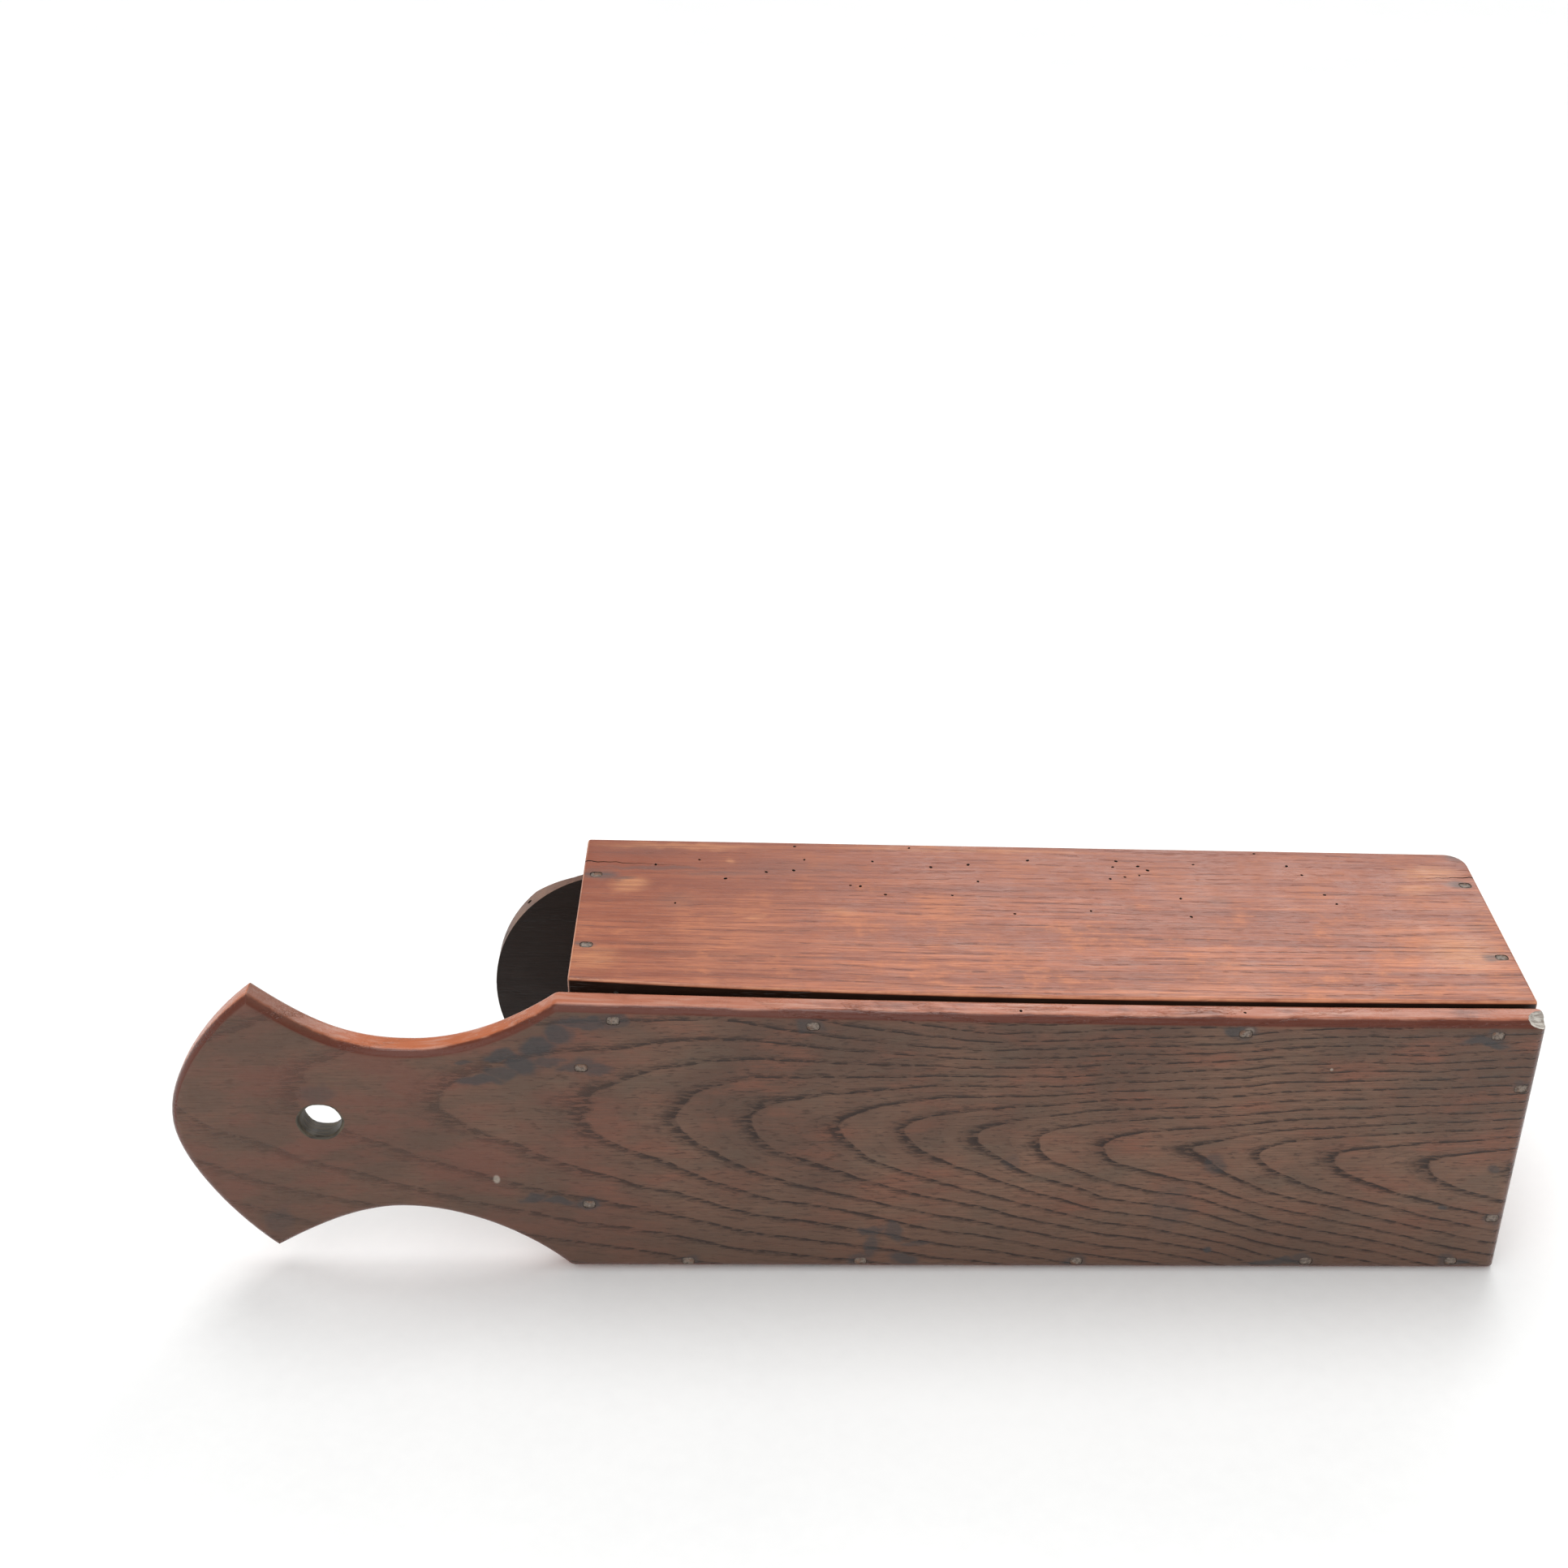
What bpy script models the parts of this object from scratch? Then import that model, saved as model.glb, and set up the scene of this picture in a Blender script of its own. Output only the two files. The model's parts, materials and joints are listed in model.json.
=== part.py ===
"""Hanging wooden box with a fishtail back board and a sliding lid.

The box lies on its lower side.  +X runs from the fishtail handle to the foot, +Y from the wall face of the
back board to the lid, +Z up.  The origin is at the middle of the whole, on the surface the box lies on.
Sizes are in metres.
"""
import math

import bmesh
import bpy
from mathutils import Euler, Matrix, Vector

# ---- driving dimensions --------------------------------------------------------------------------------
OVERALL_LENGTH = 0.4582
OVERALL_DEPTH = 0.1042
FIT_GAP = 0.0003            # clearance between pieces that touch

SHOULDER_TO_FOOT = 0.3262   # straight part of the back board
SIDE_LENGTH = 0.3232
SIDE_THICKNESS = 0.0095
HEIGHT_AT_SHOULDER = 0.1157
HEIGHT_AT_FOOT = 0.1088
TOP_HOLLOW = 0.0014         # dip of the top at the back board, below a straight line
BACK_LIFT_AT_SHOULDER = 0.0015   # lower edge of the back board above the lower side's face
BACK_LIFT_AT_FOOT = 0.0004

BACK_THICKNESS = 0.0105
BACK_ROUND_OVER = 0.0026
BACK_CORNER_RADIUS = 0.0031
END_THICKNESS = 0.0096
ARRIS_RADIUS = 0.0009       # worn edges of the inner boards

OPEN_JOINT_AT_HANDLE = 0.0058    # the upper side has sprung away from the back board here
OPEN_JOINT_AT_FOOT = 0.0016

# fishtail handle, as places in the X-Z plane
NOSE = (-OVERALL_LENGTH / 2.0, 0.0660)
TOP_TIP = (-0.1974, 0.1192)
BOTTOM_TIP = (-0.1993, 0.0113)
LOWER_WAIST = (-0.1540, 0.0288)
UPPER_WAIST = (-0.1460, 0.0967)
HANGING_HOLE_CENTRE = (-0.1785, 0.0669)
HANGING_HOLE_RADIUS = 0.0067

# sliding lid
LID_THICKNESS = 0.0082
LID_INNER_FACE_DEPTH = 0.0901    # from the wall face
LID_THUMB_END = 0.0482           # length of the half-round end
LID_ROUND_START = -0.0819
TONGUE_THICKNESS = 0.0033
TONGUE_WIDTH = 0.0036
LID_BEVEL_WIDTH = 0.0100
GROOVE_DEPTH = 0.0033

# cut nails
NAIL_HEAD = (0.0044, 0.0032)
NAIL_HEAD_THICKNESS = 0.0009
NAIL_NECK = 0.0006               # slope from the head to the shank
NAIL_SHANK = (0.0024, 0.0020)
NAIL_POINT = (0.0012, 0.0010)
NAIL_LENGTH = 0.0260
NAIL_SINK = 0.0004               # head below the face of the wood

BACK_UPPER_NAILS_X = (-0.0779, -0.0123, 0.1299, 0.2130)
BACK_LOWER_NAILS_X = (-0.0556, 0.0050, 0.0810, 0.1620, 0.2130)
BACK_NAIL_EDGE_DISTANCE = 0.0050
HANDLE_END_NAILS_Z = (0.0907, 0.0313)
FOOT_END_NAILS_Z = (0.0818, 0.0248)
SIDE_NAILS_AT_HANDLE = (0.0800, 0.0360)   # distance from the wall face
SIDE_NAILS_AT_FOOT = (0.0828, 0.0377)

CURVE_STEPS = 12
HOLE_SIDES = 28
LOFT_STATIONS = 14
CUT_MARGIN = 0.0020              # how far a cutter runs past the wood

# ---- sizes that follow ---------------------------------------------------------------------------------
FOOT_X = OVERALL_LENGTH / 2.0
SHOULDER_X = FOOT_X - SHOULDER_TO_FOOT
SIDE_START_X = FOOT_X - SIDE_LENGTH
WALL_Y = -OVERALL_DEPTH / 2.0
FRONT_Y = OVERALL_DEPTH / 2.0
CASE_BACK_Y = WALL_Y + BACK_THICKNESS + FIT_GAP
LID_INNER_Y = WALL_Y + LID_INNER_FACE_DEPTH
LID_OUTER_Y = LID_INNER_Y + LID_THICKNESS
TONGUE_OUTER_Y = LID_INNER_Y + TONGUE_THICKNESS
GROOVE_INNER_Y = LID_INNER_Y - FIT_GAP
GROOVE_OUTER_Y = TONGUE_OUTER_Y + FIT_GAP
FOOT_END_X = FOOT_X - END_THICKNESS
LID_FOOT_X = FOOT_END_X + GROOVE_DEPTH - FIT_GAP
LID_LOWER_Z = SIDE_THICKNESS - GROOVE_DEPTH + FIT_GAP
HANDLE_END_NAIL_X = SIDE_START_X + END_THICKNESS / 2.0
FOOT_END_NAIL_X = FOOT_X - END_THICKNESS / 2.0


# ---- heights that change along the box -------------------------------------------------------------------
def taper_height(x):
    """Height of the straight line from the shoulder to the foot."""
    share = (x - SHOULDER_X) / SHOULDER_TO_FOOT
    return HEIGHT_AT_SHOULDER + (HEIGHT_AT_FOOT - HEIGHT_AT_SHOULDER) * share


def top_height(x):
    """Height of the upper edge of the back board and of the side next to it: a little hollow."""
    share = (x - SHOULDER_X) / SHOULDER_TO_FOOT
    return taper_height(x) - TOP_HOLLOW * 4.0 * share * (1.0 - share)


def inner_height(x):
    """Height of the upper side's inner face."""
    return taper_height(x) - SIDE_THICKNESS


def lid_upper_z(x):
    """Upper edge of the lid, in the upper side's groove."""
    return inner_height(x) + GROOVE_DEPTH - FIT_GAP


def upper_side_back_y(x):
    """Back edge of the upper side: the joint stands open towards the handle."""
    remaining = (FOOT_X - x) / SIDE_LENGTH
    opening = OPEN_JOINT_AT_FOOT + (OPEN_JOINT_AT_HANDLE - OPEN_JOINT_AT_FOOT) * remaining ** 4
    return WALL_Y + BACK_THICKNESS + opening


# ---- curves ----------------------------------------------------------------------------------------------
def bezier(start, start_handle, end_handle, end):
    """Points along a cubic curve, without its last point."""
    points = []
    for step in range(CURVE_STEPS):
        t = step / CURVE_STEPS
        weights = ((1 - t) ** 3, 3 * t * (1 - t) ** 2, 3 * t * t * (1 - t), t ** 3)
        corners = (start, start_handle, end_handle, end)
        points.append(tuple(sum(w * c[axis] for w, c in zip(weights, corners)) for axis in (0, 1)))
    return points


def back_board_outline():
    """Outline of the back board in the X-Z plane, counter-clockwise seen from the wall."""
    upper_shoulder = (SHOULDER_X, top_height(SHOULDER_X))
    lower_shoulder = (SHOULDER_X, BACK_LIFT_AT_SHOULDER)
    points = [(FOOT_X, BACK_LIFT_AT_FOOT)]
    for step in range(CURVE_STEPS):
        x = FOOT_X - SHOULDER_TO_FOOT * step / CURVE_STEPS
        points.append((x, top_height(x)))
    points += bezier(upper_shoulder, (-0.1080, 0.1074), (-0.1260, UPPER_WAIST[1]), UPPER_WAIST)
    points += bezier(UPPER_WAIST, (-0.1680, UPPER_WAIST[1]), (-0.1800, 0.1045), TOP_TIP)
    points += bezier(TOP_TIP, (-0.2115, 0.1085), (NOSE[0], 0.0860), NOSE)
    points += bezier(NOSE, (NOSE[0], 0.0480), (-0.2120, 0.0224), BOTTOM_TIP)
    points += bezier(BOTTOM_TIP, (-0.1864, 0.0190), (-0.1700, LOWER_WAIST[1]), LOWER_WAIST)
    points += bezier(LOWER_WAIST, (-0.1330, LOWER_WAIST[1]), (-0.1110, 0.0165), lower_shoulder)
    points.append(lower_shoulder)
    return points


def lid_outline():
    """Outline of the lid in the X-Z plane, counter-clockwise seen from the wall."""
    top = lid_upper_z(LID_ROUND_START)
    middle = (top + LID_LOWER_Z) / 2.0
    half_width = (top - LID_LOWER_Z) / 2.0
    points = [(LID_FOOT_X, LID_LOWER_Z), (LID_FOOT_X, lid_upper_z(LID_FOOT_X))]
    for step in range(2 * CURVE_STEPS + 1):
        angle = math.pi * step / (2 * CURVE_STEPS)
        x = LID_ROUND_START - LID_THUMB_END * math.sin(angle)
        points.append((x, middle + half_width * math.cos(angle)))
    return points


# ---- mesh building ---------------------------------------------------------------------------------------
def finish_mesh(mesh_data, name):
    """Turn a bmesh into a mesh with its faces out and its round parts smooth."""
    bmesh.ops.recalc_face_normals(mesh_data, faces=mesh_data.faces)
    mesh = bpy.data.meshes.new(name)
    mesh_data.to_mesh(mesh)
    mesh_data.free()
    mesh.shade_smooth()
    mesh.set_sharp_from_angle(angle=math.radians(35.0))
    return mesh


def is_corner(edge, least_angle):
    """Whether the faces on an edge meet at more than least_angle."""
    return len(edge.link_faces) == 2 and edge.calc_face_angle() > least_angle


def plank_mesh(name, outline, thickness, rim_radius, corner_radius):
    """A plank in the X-Z plane, thickness along +Y, with rounded corners and a rounded rim."""
    plank = bmesh.new()
    near = [plank.verts.new((x, 0.0, z)) for x, z in outline]
    face = plank.faces.new(near)
    moved = bmesh.ops.extrude_face_region(plank, geom=[face])["geom"]
    far = [item for item in moved if isinstance(item, bmesh.types.BMVert)]
    bmesh.ops.translate(plank, verts=far, vec=(0.0, thickness, 0.0))
    bmesh.ops.recalc_face_normals(plank, faces=plank.faces)
    if corner_radius > 0.0:
        corners = [edge for edge in plank.edges
                   if abs(edge.verts[0].co.y - edge.verts[1].co.y) > thickness / 2.0
                   and is_corner(edge, math.radians(20.0))]
        bmesh.ops.bevel(plank, geom=corners, offset=corner_radius, segments=3, profile=0.5, affect="EDGES")
    rim = [edge for edge in plank.edges
           if abs(edge.verts[0].co.y - edge.verts[1].co.y) < thickness / 4.0
           and is_corner(edge, math.radians(60.0))]
    bmesh.ops.bevel(plank, geom=rim, offset=rim_radius, segments=3, profile=0.5, affect="EDGES")
    return finish_mesh(plank, name)


def loft_mesh(name, sections, arris_radius):
    """A closed body through four-cornered sections, with its long and end edges eased."""
    body = bmesh.new()
    rings = [[body.verts.new(corner) for corner in section] for section in sections]
    for ring, following in zip(rings, rings[1:]):
        for corner in range(4):
            after = (corner + 1) % 4
            body.faces.new((ring[corner], ring[after], following[after], following[corner]))
    body.faces.new(rings[0])
    body.faces.new(rings[-1])
    bmesh.ops.recalc_face_normals(body, faces=body.faces)
    if arris_radius > 0.0:
        edges = [edge for edge in body.edges if is_corner(edge, math.radians(45.0))]
        bmesh.ops.bevel(body, geom=edges, offset=arris_radius, segments=2, profile=0.5, affect="EDGES")
    return finish_mesh(body, name)


def add_nail_shape(mesh_data, placing, clearance, proud):
    """Add a cut nail along -Z from its head at the origin, placed by a matrix.

    clearance widens it all round and proud lengthens its head, as a cutter needs.
    """
    levels = ((proud, NAIL_HEAD),
              (-NAIL_HEAD_THICKNESS - clearance, NAIL_HEAD),
              (-NAIL_HEAD_THICKNESS - clearance - NAIL_NECK, NAIL_SHANK),
              (-NAIL_LENGTH - clearance, NAIL_POINT))
    rings = []
    for height, (length, width) in levels:
        half_x = length / 2.0 + clearance
        half_y = width / 2.0 + clearance
        corners = ((-half_x, -half_y), (half_x, -half_y), (half_x, half_y), (-half_x, half_y))
        rings.append([mesh_data.verts.new(placing @ Vector((x, y, height))) for x, y in corners])
    for ring, following in zip(rings, rings[1:]):
        for corner in range(4):
            after = (corner + 1) % 4
            mesh_data.faces.new((ring[corner], ring[after], following[after], following[corner]))
    mesh_data.faces.new(rings[0])
    mesh_data.faces.new(rings[-1])


def box_section(x, y_low, y_high, z_low, z_high):
    """The four corners of an upright section at x."""
    return ((x, y_low, z_low), (x, y_high, z_low), (x, y_high, z_high), (x, y_low, z_high))


# ---- materials -------------------------------------------------------------------------------------------
def make_material(name, colour, roughness, metallic=0.0):
    """A Principled material of one colour."""
    material = bpy.data.materials.new(name)
    material.use_nodes = True
    shader = material.node_tree.nodes["Principled BSDF"]
    shader.inputs["Base Color"].default_value = (*colour, 1.0)
    shader.inputs["Roughness"].default_value = roughness
    shader.inputs["Metallic"].default_value = metallic
    material.diffuse_color = (*colour, 1.0)
    return material


# ---- placing ---------------------------------------------------------------------------------------------
def add_object(name, mesh, location, parent, material=None):
    """An object at a place, under an empty."""
    item = bpy.data.objects.new(name, mesh)
    item.location = location
    item.parent = parent
    if material is not None:
        item.data.materials.clear()
        item.data.materials.append(material)
    bpy.context.scene.collection.objects.link(item)
    return item


def add_empty(name, location, parent=None):
    """An empty that holds the pieces of one body."""
    empty = bpy.data.objects.new(name, None)
    empty.location = location
    empty.parent = parent
    bpy.context.scene.collection.objects.link(empty)
    return empty


def add_cutter(name, mesh, location=(0.0, 0.0, 0.0), rotation=(0.0, 0.0, 0.0)):
    """A shape that only takes wood away."""
    cutter = bpy.data.objects.new(name, mesh)
    cutter.location = location
    cutter.rotation_euler = rotation
    cutter.hide_render = True
    cutter.display_type = "WIRE"
    bpy.context.scene.collection.objects.link(cutter)
    return cutter


def cut(board, cutter):
    """Take the cutter's shape out of the board."""
    modifier = board.modifiers.new("cut_" + cutter.name, "BOOLEAN")
    modifier.operation = "DIFFERENCE"
    modifier.solver = "EXACT"
    modifier.object = cutter


# ---- nails -----------------------------------------------------------------------------------------------
POINTS_TO_LID = (math.radians(90.0), 0.0, 0.0)      # driven from the wall face, along +Y
POINTS_DOWN = (0.0, 0.0, 0.0)                       # driven from the upper side
POINTS_UP = (math.radians(180.0), 0.0, 0.0)         # driven from the lower side


def nail_places():
    """Name, head place, rotation and the two boards of every nail."""
    places = []
    back_y = WALL_Y + NAIL_SINK
    for number, x in enumerate(BACK_UPPER_NAILS_X, start=1):
        z = top_height(x) - BACK_NAIL_EDGE_DISTANCE
        places.append((f"nail_back_to_upper_side_{number}", (x, back_y, z), POINTS_TO_LID,
                       ("back_board", "upper_side")))
    for number, x in enumerate(BACK_LOWER_NAILS_X, start=1):
        places.append((f"nail_back_to_lower_side_{number}", (x, back_y, BACK_NAIL_EDGE_DISTANCE),
                       POINTS_TO_LID, ("back_board", "lower_side")))
    for number, z in enumerate(HANDLE_END_NAILS_Z, start=1):
        places.append((f"nail_back_to_handle_end_{number}", (HANDLE_END_NAIL_X, back_y, z),
                       POINTS_TO_LID, ("back_board", "handle_end")))
    for number, z in enumerate(FOOT_END_NAILS_Z, start=1):
        places.append((f"nail_back_to_foot_end_{number}", (FOOT_END_NAIL_X, back_y, z),
                       POINTS_TO_LID, ("back_board", "foot_end")))
    for end, x, depths in (("handle_end", HANDLE_END_NAIL_X, SIDE_NAILS_AT_HANDLE),
                           ("foot_end", FOOT_END_NAIL_X, SIDE_NAILS_AT_FOOT)):
        for number, depth in enumerate(depths, start=1):
            y = WALL_Y + depth
            places.append((f"nail_upper_side_to_{end}_{number}", (x, y, top_height(x) - NAIL_SINK),
                           POINTS_DOWN, ("upper_side", end)))
            places.append((f"nail_lower_side_to_{end}_{number}", (x, y, NAIL_SINK),
                           POINTS_UP, ("lower_side", end)))
    return places


def drive_nails(boards, parent, material):
    """Put every nail in, and cut its hole in the two boards that it joins."""
    shape = bmesh.new()
    add_nail_shape(shape, Matrix.Identity(4), clearance=0.0, proud=0.0)
    nail = finish_mesh(shape, "cut_nail")
    nail.materials.append(material)
    holes = {board_name: bmesh.new() for board_name in boards}
    for name, place, rotation, joined in nail_places():
        add_object(name, nail, place, parent).rotation_euler = rotation
        placing = Matrix.Translation(place) @ Euler(rotation).to_matrix().to_4x4()
        for board_name in joined:
            add_nail_shape(holes[board_name], placing, clearance=FIT_GAP, proud=CUT_MARGIN)
    for board_name, shapes in holes.items():
        name = "nail_holes_in_" + board_name
        cut(boards[board_name], add_cutter(name, finish_mesh(shapes, name)))


# ---- boards ----------------------------------------------------------------------------------------------
def make_back_board(parent):
    """The wall board, which runs on into the fishtail handle and its hanging hole."""
    mesh = plank_mesh("back_board", back_board_outline(), BACK_THICKNESS, BACK_ROUND_OVER,
                      BACK_CORNER_RADIUS)
    material = make_material("back_board_wood", (0.125, 0.055, 0.036), 0.50)
    board = add_object("back_board", mesh, (0.0, WALL_Y, 0.0), parent, material)
    hole = bmesh.new()
    bmesh.ops.create_cone(hole, cap_ends=True, segments=HOLE_SIDES, radius1=HANGING_HOLE_RADIUS,
                          radius2=HANGING_HOLE_RADIUS, depth=BACK_THICKNESS + 2.0 * CUT_MARGIN)
    centre = (HANGING_HOLE_CENTRE[0], WALL_Y + BACK_THICKNESS / 2.0, HANGING_HOLE_CENTRE[1])
    cut(board, add_cutter("hanging_hole", finish_mesh(hole, "hanging_hole"), centre, POINTS_TO_LID))
    return board


def make_upper_side(parent):
    """The side that is uppermost here, with its joint to the back board standing open."""
    sections = []
    for station in range(LOFT_STATIONS + 1):
        x = SIDE_START_X + SIDE_LENGTH * station / LOFT_STATIONS
        back_y = upper_side_back_y(x)
        sections.append(((x, back_y, inner_height(x)), (x, FRONT_Y, inner_height(x)),
                         (x, FRONT_Y, taper_height(x)), (x, back_y, top_height(x))))
    material = make_material("upper_side_wood", (0.300, 0.098, 0.045), 0.35)
    side = add_object("upper_side", loft_mesh("upper_side", sections, ARRIS_RADIUS), (0.0, 0.0, 0.0),
                      parent, material)
    ends = (SIDE_START_X - CUT_MARGIN, FOOT_X + CUT_MARGIN)
    groove = [box_section(x, GROOVE_INNER_Y, GROOVE_OUTER_Y, inner_height(x) - CUT_MARGIN,
                          inner_height(x) + GROOVE_DEPTH) for x in ends]
    cut(side, add_cutter("upper_groove", loft_mesh("upper_groove", groove, 0.0)))
    return side


def make_lower_side(parent):
    """The side that the box lies on."""
    ends = (SIDE_START_X, FOOT_X)
    sections = [box_section(x, CASE_BACK_Y, FRONT_Y, 0.0, SIDE_THICKNESS) for x in ends]
    material = make_material("lower_side_wood", (0.260, 0.085, 0.040), 0.40)
    side = add_object("lower_side", loft_mesh("lower_side", sections, ARRIS_RADIUS), (0.0, 0.0, 0.0),
                      parent, material)
    ends = (SIDE_START_X - CUT_MARGIN, FOOT_X + CUT_MARGIN)
    groove = [box_section(x, GROOVE_INNER_Y, GROOVE_OUTER_Y, SIDE_THICKNESS - GROOVE_DEPTH,
                          SIDE_THICKNESS + CUT_MARGIN) for x in ends]
    cut(side, add_cutter("lower_groove", loft_mesh("lower_groove", groove, 0.0)))
    return side


def make_end(name, start_x, end_x, front_y, colour, parent):
    """An end board between the two sides."""
    low_z = SIDE_THICKNESS + FIT_GAP
    sections = [box_section(x, CASE_BACK_Y, front_y, low_z, inner_height(x) - FIT_GAP)
                for x in (start_x, end_x)]
    material = make_material(name + "_wood", colour, 0.50)
    return add_object(name, loft_mesh(name, sections, ARRIS_RADIUS), (0.0, 0.0, 0.0), parent, material)


def make_foot_end(parent):
    """The foot end, with the groove that takes the lid's tongue."""
    board = make_end("foot_end", FOOT_END_X, FOOT_X, FRONT_Y, (0.240, 0.080, 0.040), parent)
    groove = [box_section(x, GROOVE_INNER_Y, GROOVE_OUTER_Y, 0.0, HEIGHT_AT_SHOULDER)
              for x in (FOOT_END_X - CUT_MARGIN, FOOT_END_X + GROOVE_DEPTH)]
    cut(board, add_cutter("foot_groove", loft_mesh("foot_groove", groove, 0.0)))
    return board


def bevel_section(place, inward):
    """Section of the waste taken off the lid's edge; place is on the edge and inward points to its middle."""
    slope_run = LID_BEVEL_WIDTH * (LID_THICKNESS + CUT_MARGIN - TONGUE_THICKNESS)
    slope_run /= LID_THICKNESS - TONGUE_THICKNESS
    corners = ((-CUT_MARGIN, TONGUE_OUTER_Y), (TONGUE_WIDTH, TONGUE_OUTER_Y),
               (TONGUE_WIDTH + slope_run, LID_OUTER_Y + CUT_MARGIN), (-CUT_MARGIN, LID_OUTER_Y + CUT_MARGIN))
    return [(place[0] + inward[0] * run, y, place[1] + inward[1] * run) for run, y in corners]


def make_sliding_lid(parent):
    """The lid: tongues in three grooves, a bevel above them and a half-round thumb end."""
    mesh = plank_mesh("sliding_lid", lid_outline(), LID_THICKNESS, rim_radius=0.0006, corner_radius=0.0)
    material = make_material("sliding_lid_wood", (0.150, 0.060, 0.038), 0.50)
    lid = add_object("sliding_lid", mesh, (0.0, 0.0, 0.0), parent, material)
    nose_x = LID_ROUND_START - LID_THUMB_END - CUT_MARGIN
    past_foot_x = LID_FOOT_X + CUT_MARGIN
    lower = [bevel_section((x, LID_LOWER_Z), (0.0, 1.0)) for x in (nose_x, past_foot_x)]
    upper = [bevel_section((x, lid_upper_z(x)), (0.0, -1.0)) for x in (nose_x, past_foot_x)]
    foot = [bevel_section((LID_FOOT_X, z), (-1.0, 0.0))
            for z in (LID_LOWER_Z - CUT_MARGIN, lid_upper_z(LID_FOOT_X) + CUT_MARGIN)]
    for name, sections in (("lower_bevel", lower), ("upper_bevel", upper), ("foot_bevel", foot)):
        cut(lid, add_cutter(name, loft_mesh(name, sections, 0.0)))
    return lid


# ---- the whole -------------------------------------------------------------------------------------------
def clear_scene():
    """Take away whatever the scene holds."""
    for item in list(bpy.data.objects):
        bpy.data.objects.remove(item, do_unlink=True)


def main():
    """Build the box."""
    clear_scene()
    case = add_empty("case_body", (0.0, 0.0, 0.0))
    lid_body = add_empty("lid_body", (0.0, LID_INNER_Y, 0.0), case)
    boards = {
        "back_board": make_back_board(case),
        "upper_side": make_upper_side(case),
        "lower_side": make_lower_side(case),
        "handle_end": make_end("handle_end", SIDE_START_X, SIDE_START_X + END_THICKNESS,
                               GROOVE_INNER_Y, (0.220, 0.075, 0.040), case),
        "foot_end": make_foot_end(case),
    }
    make_sliding_lid(lid_body)
    drive_nails(boards, case, make_material("cut_nail_iron", (0.050, 0.044, 0.042), 0.60, 0.75))


main()
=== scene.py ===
"""Old wooden hanging box with a fishtail handle and a sliding lid, lying on one long side.

Sizes are in metres.  +X runs from the handle to the foot, +Y from the wall face to the lid, +Z up.
"""

import json
import logging
import math
from collections.abc import Callable, Iterable, Sequence
from dataclasses import dataclass, field
from enum import Enum

import bmesh
import bpy
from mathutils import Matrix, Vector

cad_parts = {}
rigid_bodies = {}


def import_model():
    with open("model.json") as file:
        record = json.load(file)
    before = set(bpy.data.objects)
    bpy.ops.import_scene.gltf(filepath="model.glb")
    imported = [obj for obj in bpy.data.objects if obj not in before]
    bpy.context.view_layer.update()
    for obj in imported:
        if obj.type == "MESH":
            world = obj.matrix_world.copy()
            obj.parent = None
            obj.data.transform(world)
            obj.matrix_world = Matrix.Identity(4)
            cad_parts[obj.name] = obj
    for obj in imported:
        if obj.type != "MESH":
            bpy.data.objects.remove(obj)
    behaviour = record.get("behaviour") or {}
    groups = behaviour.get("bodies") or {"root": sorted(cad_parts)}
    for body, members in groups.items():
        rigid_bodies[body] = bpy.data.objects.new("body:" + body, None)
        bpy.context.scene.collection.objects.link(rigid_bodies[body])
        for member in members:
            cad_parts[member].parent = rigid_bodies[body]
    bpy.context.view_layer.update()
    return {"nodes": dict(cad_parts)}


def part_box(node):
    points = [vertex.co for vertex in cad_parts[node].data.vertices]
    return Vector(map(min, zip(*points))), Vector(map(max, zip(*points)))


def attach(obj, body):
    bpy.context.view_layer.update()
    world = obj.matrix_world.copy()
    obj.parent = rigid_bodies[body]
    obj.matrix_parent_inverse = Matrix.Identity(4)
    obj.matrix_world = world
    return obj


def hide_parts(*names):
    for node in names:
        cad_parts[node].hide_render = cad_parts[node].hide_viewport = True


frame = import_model()

MM = 0.001

Colour = tuple[float, float, float]
Point = tuple[float, float]
Place = tuple[float, float, float]
Piece = bpy.types.Object
Socket = bpy.types.NodeSocket
Value = float | Sequence[float] | bpy.types.NodeSocket

log = logging.getLogger("hanging_box")


class Body(Enum):
    """The CAD bodies that pieces ride on."""

    CASE = "case"
    LID = "lid"


class Slot(Enum):
    """The record's material slots."""

    BACK_BOARD = "back_board_wood"
    UPPER_SIDE = "upper_side_wood"
    LOWER_SIDE = "lower_side_wood"
    END_BOARD = "end_board_wood"
    LID = "lid_wood"
    NAIL = "nail_iron"


class Grain(Enum):
    """The way that a board's fibres run."""

    ALONG_X = 0
    ALONG_Z = 2


class Driven(Enum):
    """The way that a nail points, with the turns about X that bring it there from pointing down."""

    TO_LID = math.pi / 2
    DOWN = 0.0
    UP = math.pi


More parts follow.
